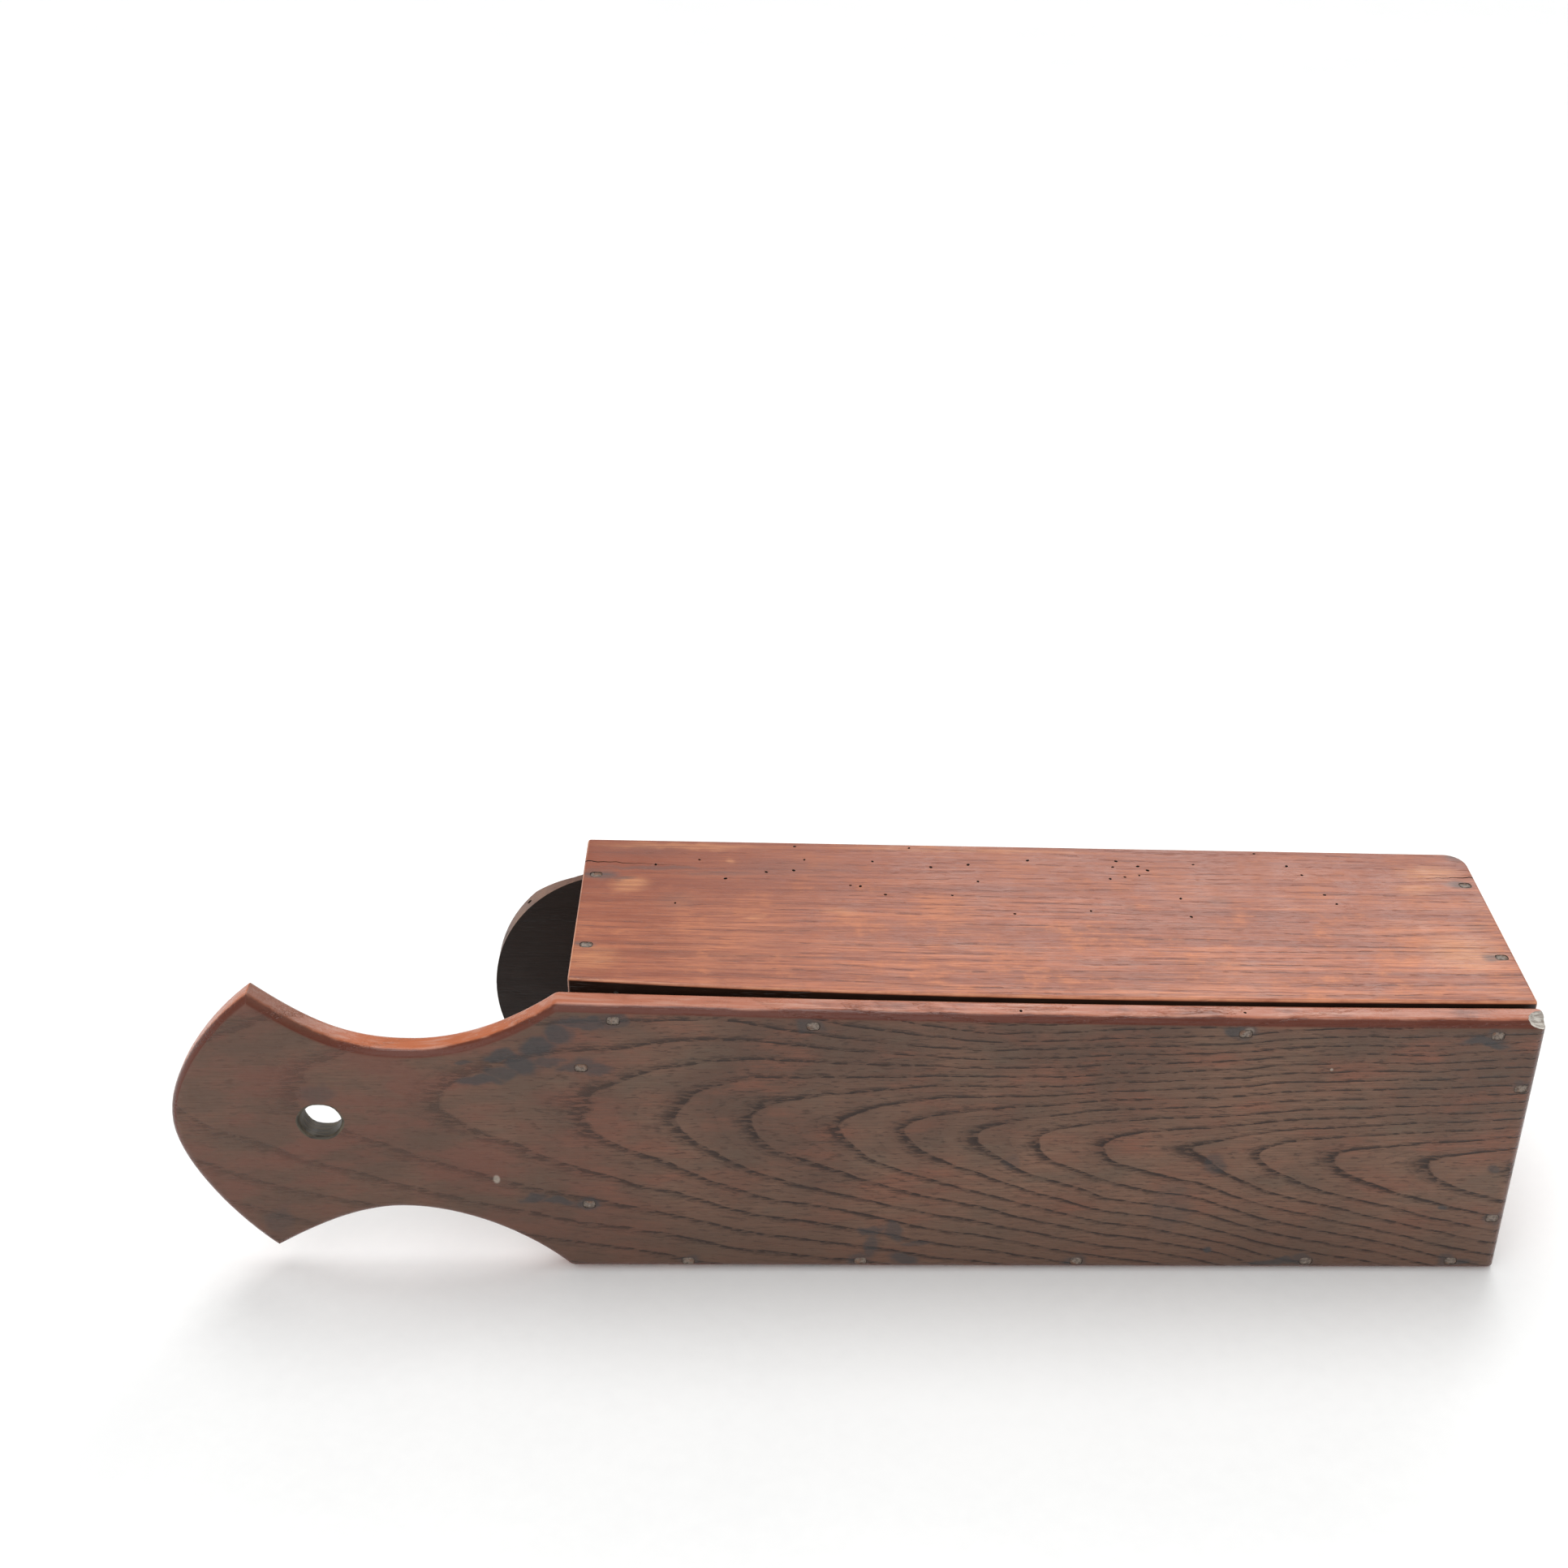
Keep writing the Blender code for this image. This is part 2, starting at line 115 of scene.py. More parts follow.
# ---- modelling ---------------------------------------------------------------------------------
class Editing:
    """One stay in edit mode on a piece, where parts of it are picked by place and shaped by operators."""

    def __init__(self, piece: Piece) -> None:
        """Remember the piece.

        Args:
            piece: The mesh object to work on.
        """
        self.piece = piece

    def __enter__(self) -> "Editing":
        """Open the piece in edit mode."""
        Bench.activate(self.piece)
        bpy.ops.object.mode_set(mode="EDIT")
        bpy.ops.mesh.select_mode(type="VERT")
        return self

    def __exit__(self, *problem: object) -> None:
        """Go back to object mode."""
        bpy.ops.object.mode_set(mode="OBJECT")

    def pick(self, kind: str, choose: Callable[[bmesh.types.BMesh], Iterable[object]]) -> int:
        """Select parts of the mesh.

        Args:
            kind: The select mode: VERT, EDGE or FACE.
            choose: Takes the mesh and returns the parts that are wanted.

        Returns:
            How many parts are selected.
        """
        bpy.ops.mesh.select_mode(type=kind)
        bpy.ops.mesh.select_all(action="DESELECT")
        mesh = bmesh.from_edit_mesh(self.piece.data)
        chosen = list(choose(mesh))
        for part in chosen:
            part.select_set(True)
        mesh.select_flush_mode()
        bmesh.update_edit_mesh(self.piece.data)
        return len(chosen)

    def pick_vertices(self, wanted: Callable[[Vector], bool]) -> int:
        """Select the vertices whose place passes a test.

        Args:
            wanted: Takes a place and says whether the vertex there is wanted.

        Returns:
            How many vertices are selected.
        """
        return self.pick("VERT", lambda mesh: [vertex for vertex in mesh.verts if wanted(vertex.co)])

    def pick_edges(self, wanted: Callable[[Vector, Vector], bool]) -> int:
        """Select the edges whose two ends pass a test.

        Args:
            wanted: Takes the places of the two ends.

        Returns:
            How many edges are selected.
        """
        return self.pick("EDGE", lambda mesh: [edge for edge in mesh.edges
                                               if wanted(edge.verts[0].co, edge.verts[1].co)])

    def pick_faces(self, wanted: Callable[[Vector, Vector], bool]) -> int:
        """Select the faces whose middle and normal pass a test.

        Args:
            wanted: Takes a face's middle and its normal.

        Returns:
            How many faces are selected.
        """
        return self.pick("FACE", lambda mesh: [face for face in mesh.faces
                                               if wanted(face.calc_center_median(), face.normal)])

    def pick_arrises(self, least_angle: float = 50.0) -> None:
        """Select the edges where two faces meet at a sharp turn.

        Args:
            least_angle: Smallest turn that counts, in degrees.
        """
        bpy.ops.mesh.select_mode(type="EDGE")
        bpy.ops.mesh.select_all(action="DESELECT")
        bpy.ops.mesh.edges_select_sharp(sharpness=math.radians(least_angle))

    def slice_across(self, axis: int, places: Iterable[float]) -> None:
        """Cut new edge loops straight across the piece.

        Args:
            axis: 0, 1 or 2 for X, Y or Z.
            places: Where along the axis the cuts go.
        """
        normal = [0.0, 0.0, 0.0]
        normal[axis] = 1.0
        for place in places:
            bpy.ops.mesh.select_all(action="SELECT")
            bpy.ops.mesh.bisect(plane_co=tuple(place * share for share in normal), plane_no=normal)

    def reshape(self, rule: Callable[[int, Vector], Vector]) -> None:
        """Move each vertex to the place that a rule gives it.

        Args:
            rule: Takes a vertex's number and place, and returns its new place.
        """
        bpy.ops.mesh.select_mode(type="VERT")
        mesh = bmesh.from_edit_mesh(self.piece.data)
        groups: dict[Place, list[int]] = {}
        for vertex in mesh.verts:
            offset = rule(vertex.index, vertex.co) - vertex.co
            groups.setdefault(tuple(round(part, 9) for part in offset), []).append(vertex.index)
        for offset, numbers in groups.items():
            if not any(offset):
                continue
            bpy.ops.mesh.select_all(action="DESELECT")
            mesh = bmesh.from_edit_mesh(self.piece.data)
            mesh.verts.ensure_lookup_table()
            for number in numbers:
                mesh.verts[number].select_set(True)
            mesh.select_flush_mode()
            bmesh.update_edit_mesh(self.piece.data)
            bpy.ops.transform.translate(value=offset)

    def extrude(self, offset: Place) -> None:
        """Extrude what is selected, and move the new part by an offset."""
        bpy.ops.mesh.extrude_region_move(TRANSFORM_OT_translate={"value": offset})

    def scale(self, factors: Place, centre: Place) -> None:
        """Scale what is selected about a centre."""
        bpy.ops.transform.resize(value=factors, center_override=centre)

    def bevel(self, width: float, segments: int) -> None:
        """Round the selected edges."""
        bpy.ops.mesh.bevel(offset=width, offset_type="OFFSET", segments=segments, profile=0.5,
                           affect="EDGES", clamp_overlap=True)

    def roughen(self, amount: float, seed: int) -> None:
        """Push the selected vertices about by a small random amount, the same each time."""
        bpy.ops.transform.vertex_random(offset=amount, uniform=1.0, normal=0.0, seed=seed)

    def face_outwards(self) -> None:
        """Merge doubles and point every face outwards."""
        bpy.ops.mesh.select_all(action="SELECT")
        bpy.ops.mesh.remove_doubles(threshold=1e-6)
        bpy.ops.mesh.select_all(action="SELECT")
        bpy.ops.mesh.normals_make_consistent(inside=False)


class Bench:
    """Steps on whole objects: starting, copying, joining, cutting and finishing them."""

    @staticmethod
    def clear_selection() -> None:
        """Deselect everything, the CAD nodes among them."""
        bpy.ops.object.select_all(action="DESELECT")

    @classmethod
    def activate(cls, piece: Piece) -> None:
        """Make a piece the only selected object and the active one."""
        cls.clear_selection()
        piece.select_set(True)
        bpy.context.view_layer.objects.active = piece

    @classmethod
    def adopt_new(cls, name: str) -> Piece:
        """Name the object that an operator has just added, and move its place into its mesh.

        Args:
            name: Name for the object and its mesh.

        Returns:
            The object, at the origin.
        """
        piece = bpy.context.active_object
        piece.name = name
        piece.data.name = name
        bpy.ops.object.transform_apply(location=True, rotation=True, scale=True)
        return piece

    @classmethod
    def add_block(cls, name: str, low: Sequence[float], high: Sequence[float]) -> Piece:
        """Add a block between two corners.

        Args:
            name: Name for the object.
            low: Its lowest corner.
            high: Its highest corner.

        Returns:
            The block.
        """
        cls.clear_selection()
        lowest, highest = Vector(low), Vector(high)
        bpy.ops.mesh.primitive_cube_add(size=1.0, location=(lowest + highest) / 2, scale=highest - lowest)
        return cls.adopt_new(name)

    @classmethod
    def add_plank(cls, name: str, outline: Sequence[Point], wall_y: float, thickness: float) -> Piece:
        """Add a board of any outline in the X-Z plane: a filled ring, drawn out and then extruded.

        Args:
            name: Name for the object.
            outline: X and Z of each point, in order.
            wall_y: Where its face towards the wall lies.
            thickness: How far it runs towards the lid.

        Returns:
            The board, with square edges.
        """
        cls.clear_selection()
        bpy.ops.mesh.primitive_circle_add(vertices=len(outline), radius=0.05, fill_type="NGON",
                                          location=(0.0, wall_y, 0.05), rotation=(math.pi / 2, 0.0, 0.0))
        board = cls.adopt_new(name)
        with Editing(board) as edit:
            edit.reshape(lambda number, place: Vector((outline[number][0], wall_y, outline[number][1])))
            bpy.ops.mesh.select_all(action="SELECT")
            edit.extrude((0.0, thickness, 0.0))
            edit.face_outwards()
        return board

    @classmethod
    def add_rod(cls, name: str, place: Sequence[float], radii: Point, length: float, sides: int,
                turn: Place = (0.0, 0.0, 0.0)) -> Piece:
        """Add a tapered rod.

        Args:
            name: Name for the object.
            place: Its middle.
            radii: Radius at its lower and its upper end.
            length: Its length.
            sides: How many sides it has.
            turn: Its turn about X, Y and Z.

        Returns:
            The rod.
        """
        cls.clear_selection()
        bpy.ops.mesh.primitive_cone_add(vertices=sides, radius1=radii[0], radius2=radii[1], depth=length,
                                        location=place, rotation=turn)
        return cls.adopt_new(name)

    @classmethod
    def copy(cls, piece: Piece, name: str, place: Sequence[float] = (0.0, 0.0, 0.0),
             turn: Place = (0.0, 0.0, 0.0)) -> Piece:
        """Copy a piece with its own mesh, turned about the origin and then moved.

        Args:
            piece: What to copy.
            name: Name for the copy.
            place: Where its origin goes.
            turn: Its turn about X, Y and Z.

        Returns:
            The copy, with its place in its mesh.
        """
        twin = piece.copy()
        twin.data = piece.data.copy()
        bpy.context.scene.collection.objects.link(twin)
        twin.rotation_euler = turn
        twin.location = place
        cls.activate(twin)
        return cls.adopt_new(name)

    @classmethod
    def join(cls, name: str, pieces: Sequence[Piece]) -> Piece:
        """Make several pieces one object."""
        cls.activate(pieces[0])
        for piece in pieces:
            piece.select_set(True)
        bpy.ops.object.join()
        return cls.adopt_new(name)

    @staticmethod
    def remove(piece: Piece) -> None:
        """Delete a piece and its mesh."""
        mesh = piece.data
        bpy.data.objects.remove(piece)
        bpy.data.meshes.remove(mesh)

    @classmethod
    def cut(cls, board: Piece, cutter: Piece, keep_cutter: bool = False) -> None:
        """Take a cutter's shape out of a board; the cut faces take the cutter's material.

        Args:
            board: The piece that is cut.
            cutter: The closed shape of the waste.
            keep_cutter: Whether the cutter is needed again.
        """
        cls.activate(board)
        modifier = board.modifiers.new("cut", "BOOLEAN")
        modifier.operation = "DIFFERENCE"
        modifier.solver = "EXACT"
        modifier.material_mode = "TRANSFER"
        modifier.object = cutter
        bpy.ops.object.modifier_apply(modifier=modifier.name)
        if not keep_cutter:
            cls.remove(cutter)

    @classmethod
    def finish(cls, piece: Piece, smooth_angle: float = 42.0) -> None:
        """Shade a piece by angle and let its large faces lead the normals.

        Args:
            piece: The piece.
            smooth_angle: Turns sharper than this stay sharp, in degrees.
        """
        cls.activate(piece)
        bpy.ops.object.shade_smooth_by_angle(angle=math.radians(smooth_angle))
        modifier = piece.modifiers.new("weighted_normals", "WEIGHTED_NORMAL")
        modifier.keep_sharp = True
        modifier.weight = 100
        bpy.ops.object.modifier_apply(modifier=modifier.name)


# ---- materials ---------------------------------------------------------------------------------
class Recipe:
    """Wires the nodes of one material."""

    def __init__(self, name: str) -> None:
        """Start an empty material.

        Args:
            name: The material's name.
        """
        self.material = bpy.data.materials.new(name)
        self.material.use_nodes = True
        self.tree = self.material.node_tree
        self.tree.nodes.clear()
        source = self.tree.nodes.new("ShaderNodeTexCoord")
        self.place: Socket = source.outputs["Object"]
        self.normal: Socket = source.outputs["Normal"]

    def put(self, socket: Socket, value: Value) -> None:
        """Link a socket, or set its value.

        Args:
            socket: The input.
            value: Another node's output, a number or several numbers.
        """
        if isinstance(value, bpy.types.NodeSocket):
            self.tree.links.new(value, socket)
        elif isinstance(value, (int, float)):
            socket.default_value = value
        else:
            parts = list(value)
            wanted = len(socket.default_value)
            socket.default_value = parts + [1.0] * (wanted - len(parts))

    def math(self, operation: str, first: Value, second: Value = 0.0, third: Value = 0.0,
             clamp: bool = False) -> Socket:
        """Do arithmetic on numbers.

        Args:
            operation: The Math node's operation.
            first: First number.
            second: Second number.
            third: Third number, where the operation has one.
            clamp: Whether the result stays between 0 and 1.

        Returns:
            The result.
        """
        node = self.tree.nodes.new("ShaderNodeMath")
        node.operation = operation
        node.use_clamp = clamp
        for socket, value in zip(node.inputs, (first, second, third)):
            self.put(socket, value)
        return node.outputs[0]

    def vector(self, operation: str, first: Value, second: Value = (0.0, 0.0, 0.0)) -> Socket:
        """Do arithmetic on vectors.

        Args:
            operation: The Vector Math node's operation.
            first: First vector.
            second: Second vector.

        Returns:
            The result, a number for a length or a dot product.
        """
        node = self.tree.nodes.new("ShaderNodeVectorMath")
        node.operation = operation
        self.put(node.inputs[0], first)
        self.put(node.inputs[1], second)
        return node.outputs["Value" if operation in ("LENGTH", "DOT_PRODUCT") else "Vector"]

    def split(self, vector: Value) -> tuple[Socket, Socket, Socket]:
        """Take a vector apart into X, Y and Z."""
        node = self.tree.nodes.new("ShaderNodeSeparateXYZ")
        self.put(node.inputs[0], vector)
        return node.outputs[0], node.outputs[1], node.outputs[2]

    def noise(self, vector: Value, scale: float = 1.0, detail: float = 2.0, roughness: float = 0.5,
              distortion: float = 0.0) -> Socket:
        """Make cloudy noise.

        Args:
            vector: Where it is read.
            scale: How many lumps to a unit.
            detail: How many finer layers it has.
            roughness: How strong the finer layers are.
            distortion: How much it is swirled.

        Returns:
            The noise, about 0.5.
        """
        node = self.tree.nodes.new("ShaderNodeTexNoise")
        self.put(node.inputs["Vector"], vector)
        node.inputs["Scale"].default_value = scale
        node.inputs["Detail"].default_value = detail
        node.inputs["Roughness"].default_value = roughness
        node.inputs["Distortion"].default_value = distortion
        return node.outputs[0]

    def step(self, value: Value, low: float, high: float, start: float = 0.0, end: float = 1.0) -> Socket:
        """Turn a number into a smooth step.

        Args:
            value: The number.
            low: Where the step begins.
            high: Where it ends.
            start: Result below the step.
            end: Result above it.

        Returns:
            The stepped number.
        """
        node = self.tree.nodes.new("ShaderNodeMapRange")
        node.interpolation_type = "SMOOTHSTEP"
        for socket, part in zip(node.inputs, (value, low, high, start, end)):
            self.put(socket, part)
        return node.outputs[0]

    def blend(self, share: Value, first: Value, second: Value, way: str = "MIX") -> Socket:
        """Blend two colours.

        Args:
            share: How much of the second.
            first: First colour.
            second: Second colour.
            way: The blend type.

        Returns:
            The blended colour.
        """
        node = self.tree.nodes.new("ShaderNodeMix")
        node.data_type = "RGBA"
        node.blend_type = way
        self.put(node.inputs["Factor"], share)
        self.put(node.inputs[6], first)
        self.put(node.inputs[7], second)
        return node.outputs[2]

    def patch(self, warped: Socket, place: Sequence[float], reach: Sequence[float], strength: float,
              soft: float = 0.55) -> Socket:
        """Mask a ragged patch round a place.

        Args:
            warped: Object coordinates, shaken by noise.
            place: The patch's middle.
            reach: Half its size along X, Y and Z.
            strength: The mask's greatest value.
            soft: Share of the reach that is solid.

        Returns:
            The mask.
        """
        away = self.vector("SUBTRACT", warped, place)
        share = self.vector("DIVIDE", away, reach)
        return self.step(self.vector("LENGTH", share), soft, 1.15, strength, 0.0)

    def ladder(self, value: Value, low: float, high: float, stops: Sequence[Point]) -> Socket:
        """Read a number off a chain of straight lines.

        Args:
            value: Where it is read.
            low: Least place on the chain.
            high: Greatest place on the chain.
            stops: Place and height, from 0 to 1, of each joint of the chain.

        Returns:
            The height.
        """
        share = self.math("DIVIDE", self.math("SUBTRACT", value, low), high - low)
        node = self.tree.nodes.new("ShaderNodeValToRGB")
        self.put(node.inputs[0], share)
        ramp = node.color_ramp
        while len(ramp.elements) < len(stops):
            ramp.elements.new(1.0)
        for element, (place, height) in zip(ramp.elements, stops):
            element.position = (place - low) / (high - low)
            element.color = (height, height, height, 1.0)
        return node.outputs[0]

    def most(self, masks: Sequence[Value]) -> Value:
        """Take the greatest of several masks."""
        result = masks[0]
        for mask in masks[1:]:
            result = self.math("MAXIMUM", result, mask)
        return result

    def shake(self, amount: float, scale: float) -> Socket:
        """Shake the object coordinates with noise.

        Args:
            amount: How far, in metres.
            scale: How many lumps to a metre.

        Returns:
            The shaken coordinates.
        """
        node = self.tree.nodes.new("ShaderNodeTexNoise")
        self.put(node.inputs["Vector"], self.place)
        node.inputs["Scale"].default_value = scale
        node.inputs["Detail"].default_value = 3.0
        centred = self.vector("SUBTRACT", node.outputs["Color"], (0.5, 0.5, 0.5))
        spread = self.vector("MULTIPLY", centred, (amount, amount, amount))
        return self.vector("ADD", self.place, spread)

    def surface(self, colour: Value, roughness: Value, height: Value, depth: float,
                specular: float = 0.5, metallic: float = 0.0) -> bpy.types.Material:
        """Finish the material with a shader and a bump.

        Args:
            colour: Base colour.
            roughness: Roughness.
            height: Relief, from 0 to 1.
            depth: How deep the relief is, in metres.
            specular: Specular level.
            metallic: How metallic it is.

        Returns:
            The material.
        """
        bump = self.tree.nodes.new("ShaderNodeBump")
        bump.inputs["Strength"].default_value = 1.0
        bump.inputs["Distance"].default_value = depth
        self.put(bump.inputs["Height"], height)
        shader = self.tree.nodes.new("ShaderNodeBsdfPrincipled")
        self.put(shader.inputs["Base Color"], colour)
        self.put(shader.inputs["Roughness"], roughness)
        shader.inputs["Specular IOR Level"].default_value = specular
        shader.inputs["Metallic"].default_value = metallic
        self.put(shader.inputs["Normal"], bump.outputs[0])
        output = self.tree.nodes.new("ShaderNodeOutputMaterial")
        self.tree.links.new(shader.outputs[0], output.inputs[0])
        return self.material


@dataclass(frozen=True)
class Mark:
    """A patch of other colour on a board's face."""

    place: Place
    reach: Place
    strength: float = 0.8


@dataclass(frozen=True)
class ArchedWood:
    """The back board's wood: open pores in nested arches that point to the handle."""

    name: str = "arched_open_pored_wood"
    pale: Colour = (0.196, 0.104, 0.066)
    dark: Colour = (0.096, 0.052, 0.035)
    red: Colour = (0.215, 0.078, 0.046)
    handle_red: Colour = (0.150, 0.058, 0.040)
    grey: Colour = (0.112, 0.080, 0.055)
    # pore: colour of the open pores, also used as the painted shade on faces that turn into the box.
    pore: Colour = (0.022, 0.011, 0.008)
    edge: Colour = (0.385, 0.125, 0.066)
    # edge_dark: darker tone of the rounded edge, also used as the painted shade on its part that faces the
    # wall side.
    edge_dark: Colour = (0.082, 0.016, 0.007)
    edge_bright: Colour = (0.440, 0.120, 0.042)
    edge_dust: Colour = (0.520, 0.300, 0.230)
    stain: Colour = (0.040, 0.040, 0.042)
    putty: Colour = (0.34, 0.29, 0.24)
    axis_height: float = 0.0656
    axis_slope: float = -0.087
    arch_tips: tuple[float, ...] = (-0.225, -0.177, -0.128, -0.082, -0.054, -0.029, 0.000, 0.023, 0.047,
                                    0.067, 0.090, 0.122, 0.143, 0.170, 0.203, 0.235)
    upper_spacing: Point = (0.0105, 0.0034)
    lower_spacing: Point = (0.0105, 0.0048)
    apex: float = 3.6
    stains: tuple[Mark, ...] = ()
    putty_marks: tuple[Mark, ...] = ()

    def ring_phase(self, recipe: Recipe) -> Socket:
        """Number the growth rings.

        Args:
            recipe: The material's nodes.

        Returns:
            The ring number, whose fraction runs from the crisp side of a pore line outwards.
        """
        warped = recipe.shake(0.0048, 21.0)
        x, y, z = recipe.split(warped)
        axis = recipe.math("MULTIPLY_ADD", x, self.axis_slope, self.axis_height)
        off = recipe.math("SUBTRACT", z, axis)
        above = recipe.math("MAXIMUM", off, 0.0)
        below = recipe.math("MINIMUM", off, 0.0)
        upper = recipe.math("DIVIDE", above, recipe.step(x, -0.180, 0.070, *self.upper_spacing))
        lower = recipe.math("DIVIDE", below, recipe.step(x, -0.200, 0.120, *self.lower_spacing))
        spread = recipe.math("ADD", upper, lower)
        squared = recipe.math("MULTIPLY_ADD", spread, spread, self.apex * self.apex)
        limb = recipe.math("SUBTRACT", recipe.math("SQRT", squared), self.apex)
        tips = self.arch_tips
        stops = [(tip, 1.0 - number / (len(tips) - 1)) for number, tip in enumerate(tips)]
        rank = recipe.ladder(x, tips[0], tips[-1], stops)
        along = recipe.math("MULTIPLY_ADD", rank, len(tips) - 1.0, limb)
        return recipe.math("MULTIPLY_ADD", y, 45.0, along)

    def build(self) -> bpy.types.Material:
        """Make the material.

        Returns:
            The material.
        """
        recipe = Recipe(self.name)
        rings = self.ring_phase(recipe)
        uneven = recipe.noise(recipe.vector("MULTIPLY", recipe.place, (26.0, 26.0, 75.0)), detail=3.0)
        phase = recipe.math("FRACT", recipe.math("MULTIPLY_ADD", uneven, 0.42, rings))
        crisp = recipe.step(phase, 0.0, 0.03)
        line = recipe.math("MULTIPLY", crisp, recipe.step(phase, 0.05, 0.31, 1.0, 0.0))
        second = recipe.step(recipe.math("FRACT", recipe.math("MULTIPLY", phase, 4.0)), 0.0, 0.45, 1.0, 0.0)
        faint = recipe.math("MULTIPLY", second, recipe.step(phase, 0.20, 0.85, 0.40, 0.05))
        lines = recipe.math("MAXIMUM", line, faint)
        dashes = recipe.noise(recipe.vector("MULTIPLY", recipe.place, (260.0, 1450.0, 1450.0)), detail=1.0)
        broken = recipe.step(dashes, 0.43, 0.55)
        pores = recipe.math("MULTIPLY", lines, broken)
        fibre = recipe.noise(recipe.vector("MULTIPLY", recipe.place, (55.0, 1900.0, 1900.0)), detail=3.0,
                             roughness=0.6)
        cloud = recipe.noise(recipe.place, 13.0, 4.0, 0.6)
        blotch = recipe.noise(recipe.vector("MULTIPLY", recipe.place, (30.0, 60.0, 75.0)), detail=4.0,
                              roughness=0.65)
        colour = recipe.blend(recipe.step(cloud, 0.35, 0.65), self.dark, self.pale)
        colour = recipe.blend(recipe.step(blotch, 0.46, 0.70, 0.0, 0.75), colour, self.red)
        colour = recipe.blend(recipe.step(blotch, 0.30, 0.48, 0.65, 0.0), colour, self.grey)
        colour = recipe.blend(recipe.step(fibre, 0.34, 0.64, 0.0, 0.60), colour, self.dark)
        colour = recipe.blend(recipe.step(dashes, 0.60, 0.72, 0.0, 0.45), colour, self.pore)
        x, _, z = recipe.split(recipe.place)
        reddened = recipe.math("MULTIPLY", recipe.step(x, -0.040, -0.150),
                               recipe.step(blotch, 0.40, 0.60, 0.10, 0.70))
        colour = recipe.blend(reddened, colour, self.handle_red)
        darkened = recipe.math("MULTIPLY", recipe.step(x, -0.080, -0.160),
                               recipe.step(blotch, 0.56, 0.36, 0.20, 0.60))
        colour = recipe.blend(darkened, colour, self.dark)
        colour = recipe.blend(recipe.step(z, 0.050, 0.000, 0.0, 0.62), colour, self.dark)
        strength = recipe.step(x, -0.185, -0.010, 0.26, 0.90)
        shadow = recipe.math("MULTIPLY", line, recipe.step(cloud, 0.30, 0.65, 0.18, 0.46))
        colour = recipe.blend(recipe.math("MULTIPLY", shadow, strength), colour, self.pore)
        colour = recipe.blend(recipe.math("MULTIPLY", pores, strength), colour, self.pore)
        warped = recipe.shake(0.0115, 78.0)
        if self.stains:
            masks = [recipe.patch(warped, mark.place, mark.reach, mark.strength) for mark in self.stains]
            colour = recipe.blend(recipe.most(masks), colour, self.stain)
        facing_x, facing_y, facing_z = recipe.split(recipe.normal)
        flat = recipe.math("ABSOLUTE", facing_y)
        rim = recipe.step(flat, 0.86, 0.960, 1.0, 0.0)
        edge_grain = recipe.noise(recipe.vector("MULTIPLY", recipe.place, (45.0, 520.0, 520.0)), detail=4.0)
        edge_cloud = recipe.noise(recipe.place, 46.0, 4.0, 0.6)
        edge_mix = recipe.math("ADD", recipe.math("MULTIPLY", edge_grain, 0.6), edge_cloud)
        edge_colour = recipe.blend(recipe.step(edge_mix, 0.58, 0.84, 0.35, 1.0), self.edge_dark, self.edge)
        edge_colour = recipe.blend(recipe.step(x, -0.120, -0.080, 0.85, 0.0), edge_colour, self.edge_bright)
        dusty = recipe.math("MULTIPLY", recipe.step(edge_grain, 0.46, 0.66), 0.40)
        edge_colour = recipe.blend(dusty, edge_colour, self.edge_dust)
        # Painted shade: the part of the rounded edge that turns towards the wall face is blended towards
        # edge_dark, while the part facing up keeps the lighter edge colour.
        ragged = recipe.math("MULTIPLY_ADD", recipe.math("SUBTRACT", edge_mix, 0.8), 0.55, facing_y)
        turning = recipe.step(ragged, -0.46, -0.16, 0.94, 0.0)
        edge_colour = recipe.blend(turning, edge_colour, self.edge_dark)
        foot = recipe.step(facing_x, 0.20, 0.75, 1.0, 0.22)
        colour = recipe.blend(recipe.math("MULTIPLY", rim, foot), colour, edge_colour)
        if self.putty_marks:
            masks = [recipe.patch(recipe.place, mark.place, mark.reach, mark.strength)
                     for mark in self.putty_marks]
            colour = recipe.blend(recipe.most(masks), colour, self.putty)
        # Painted shade: faces turned towards the lid, inside the box and along the open joint, are blended
        # towards the near-black pore colour, less so on the handle.
        inside = recipe.math("MULTIPLY", recipe.step(facing_y, 0.35, 0.90, 0.0, 0.88),
                             recipe.step(x, -0.104, -0.088, 0.25, 1.0))
        colour = recipe.blend(inside, colour, self.pore)
        scuffs = recipe.noise(recipe.place, 420.0, 3.0, 0.6)
        relief = recipe.math("MULTIPLY_ADD", pores, -0.75, recipe.math("MULTIPLY", fibre, 0.30))
        relief = recipe.math("ADD", relief, recipe.math("MULTIPLY", scuffs, 0.18))
        gloss = recipe.step(edge_cloud, 0.35, 0.70, 0.20, 0.34)
        dull = recipe.step(scuffs, 0.35, 0.70, 0.42, 0.58)
        rough = recipe.math("ADD", recipe.math("MULTIPLY", rim, gloss),
                            recipe.math("MULTIPLY", recipe.math("SUBTRACT", 1.0, rim), dull))
        return recipe.surface(colour, rough, relief, 0.00030, specular=0.34)


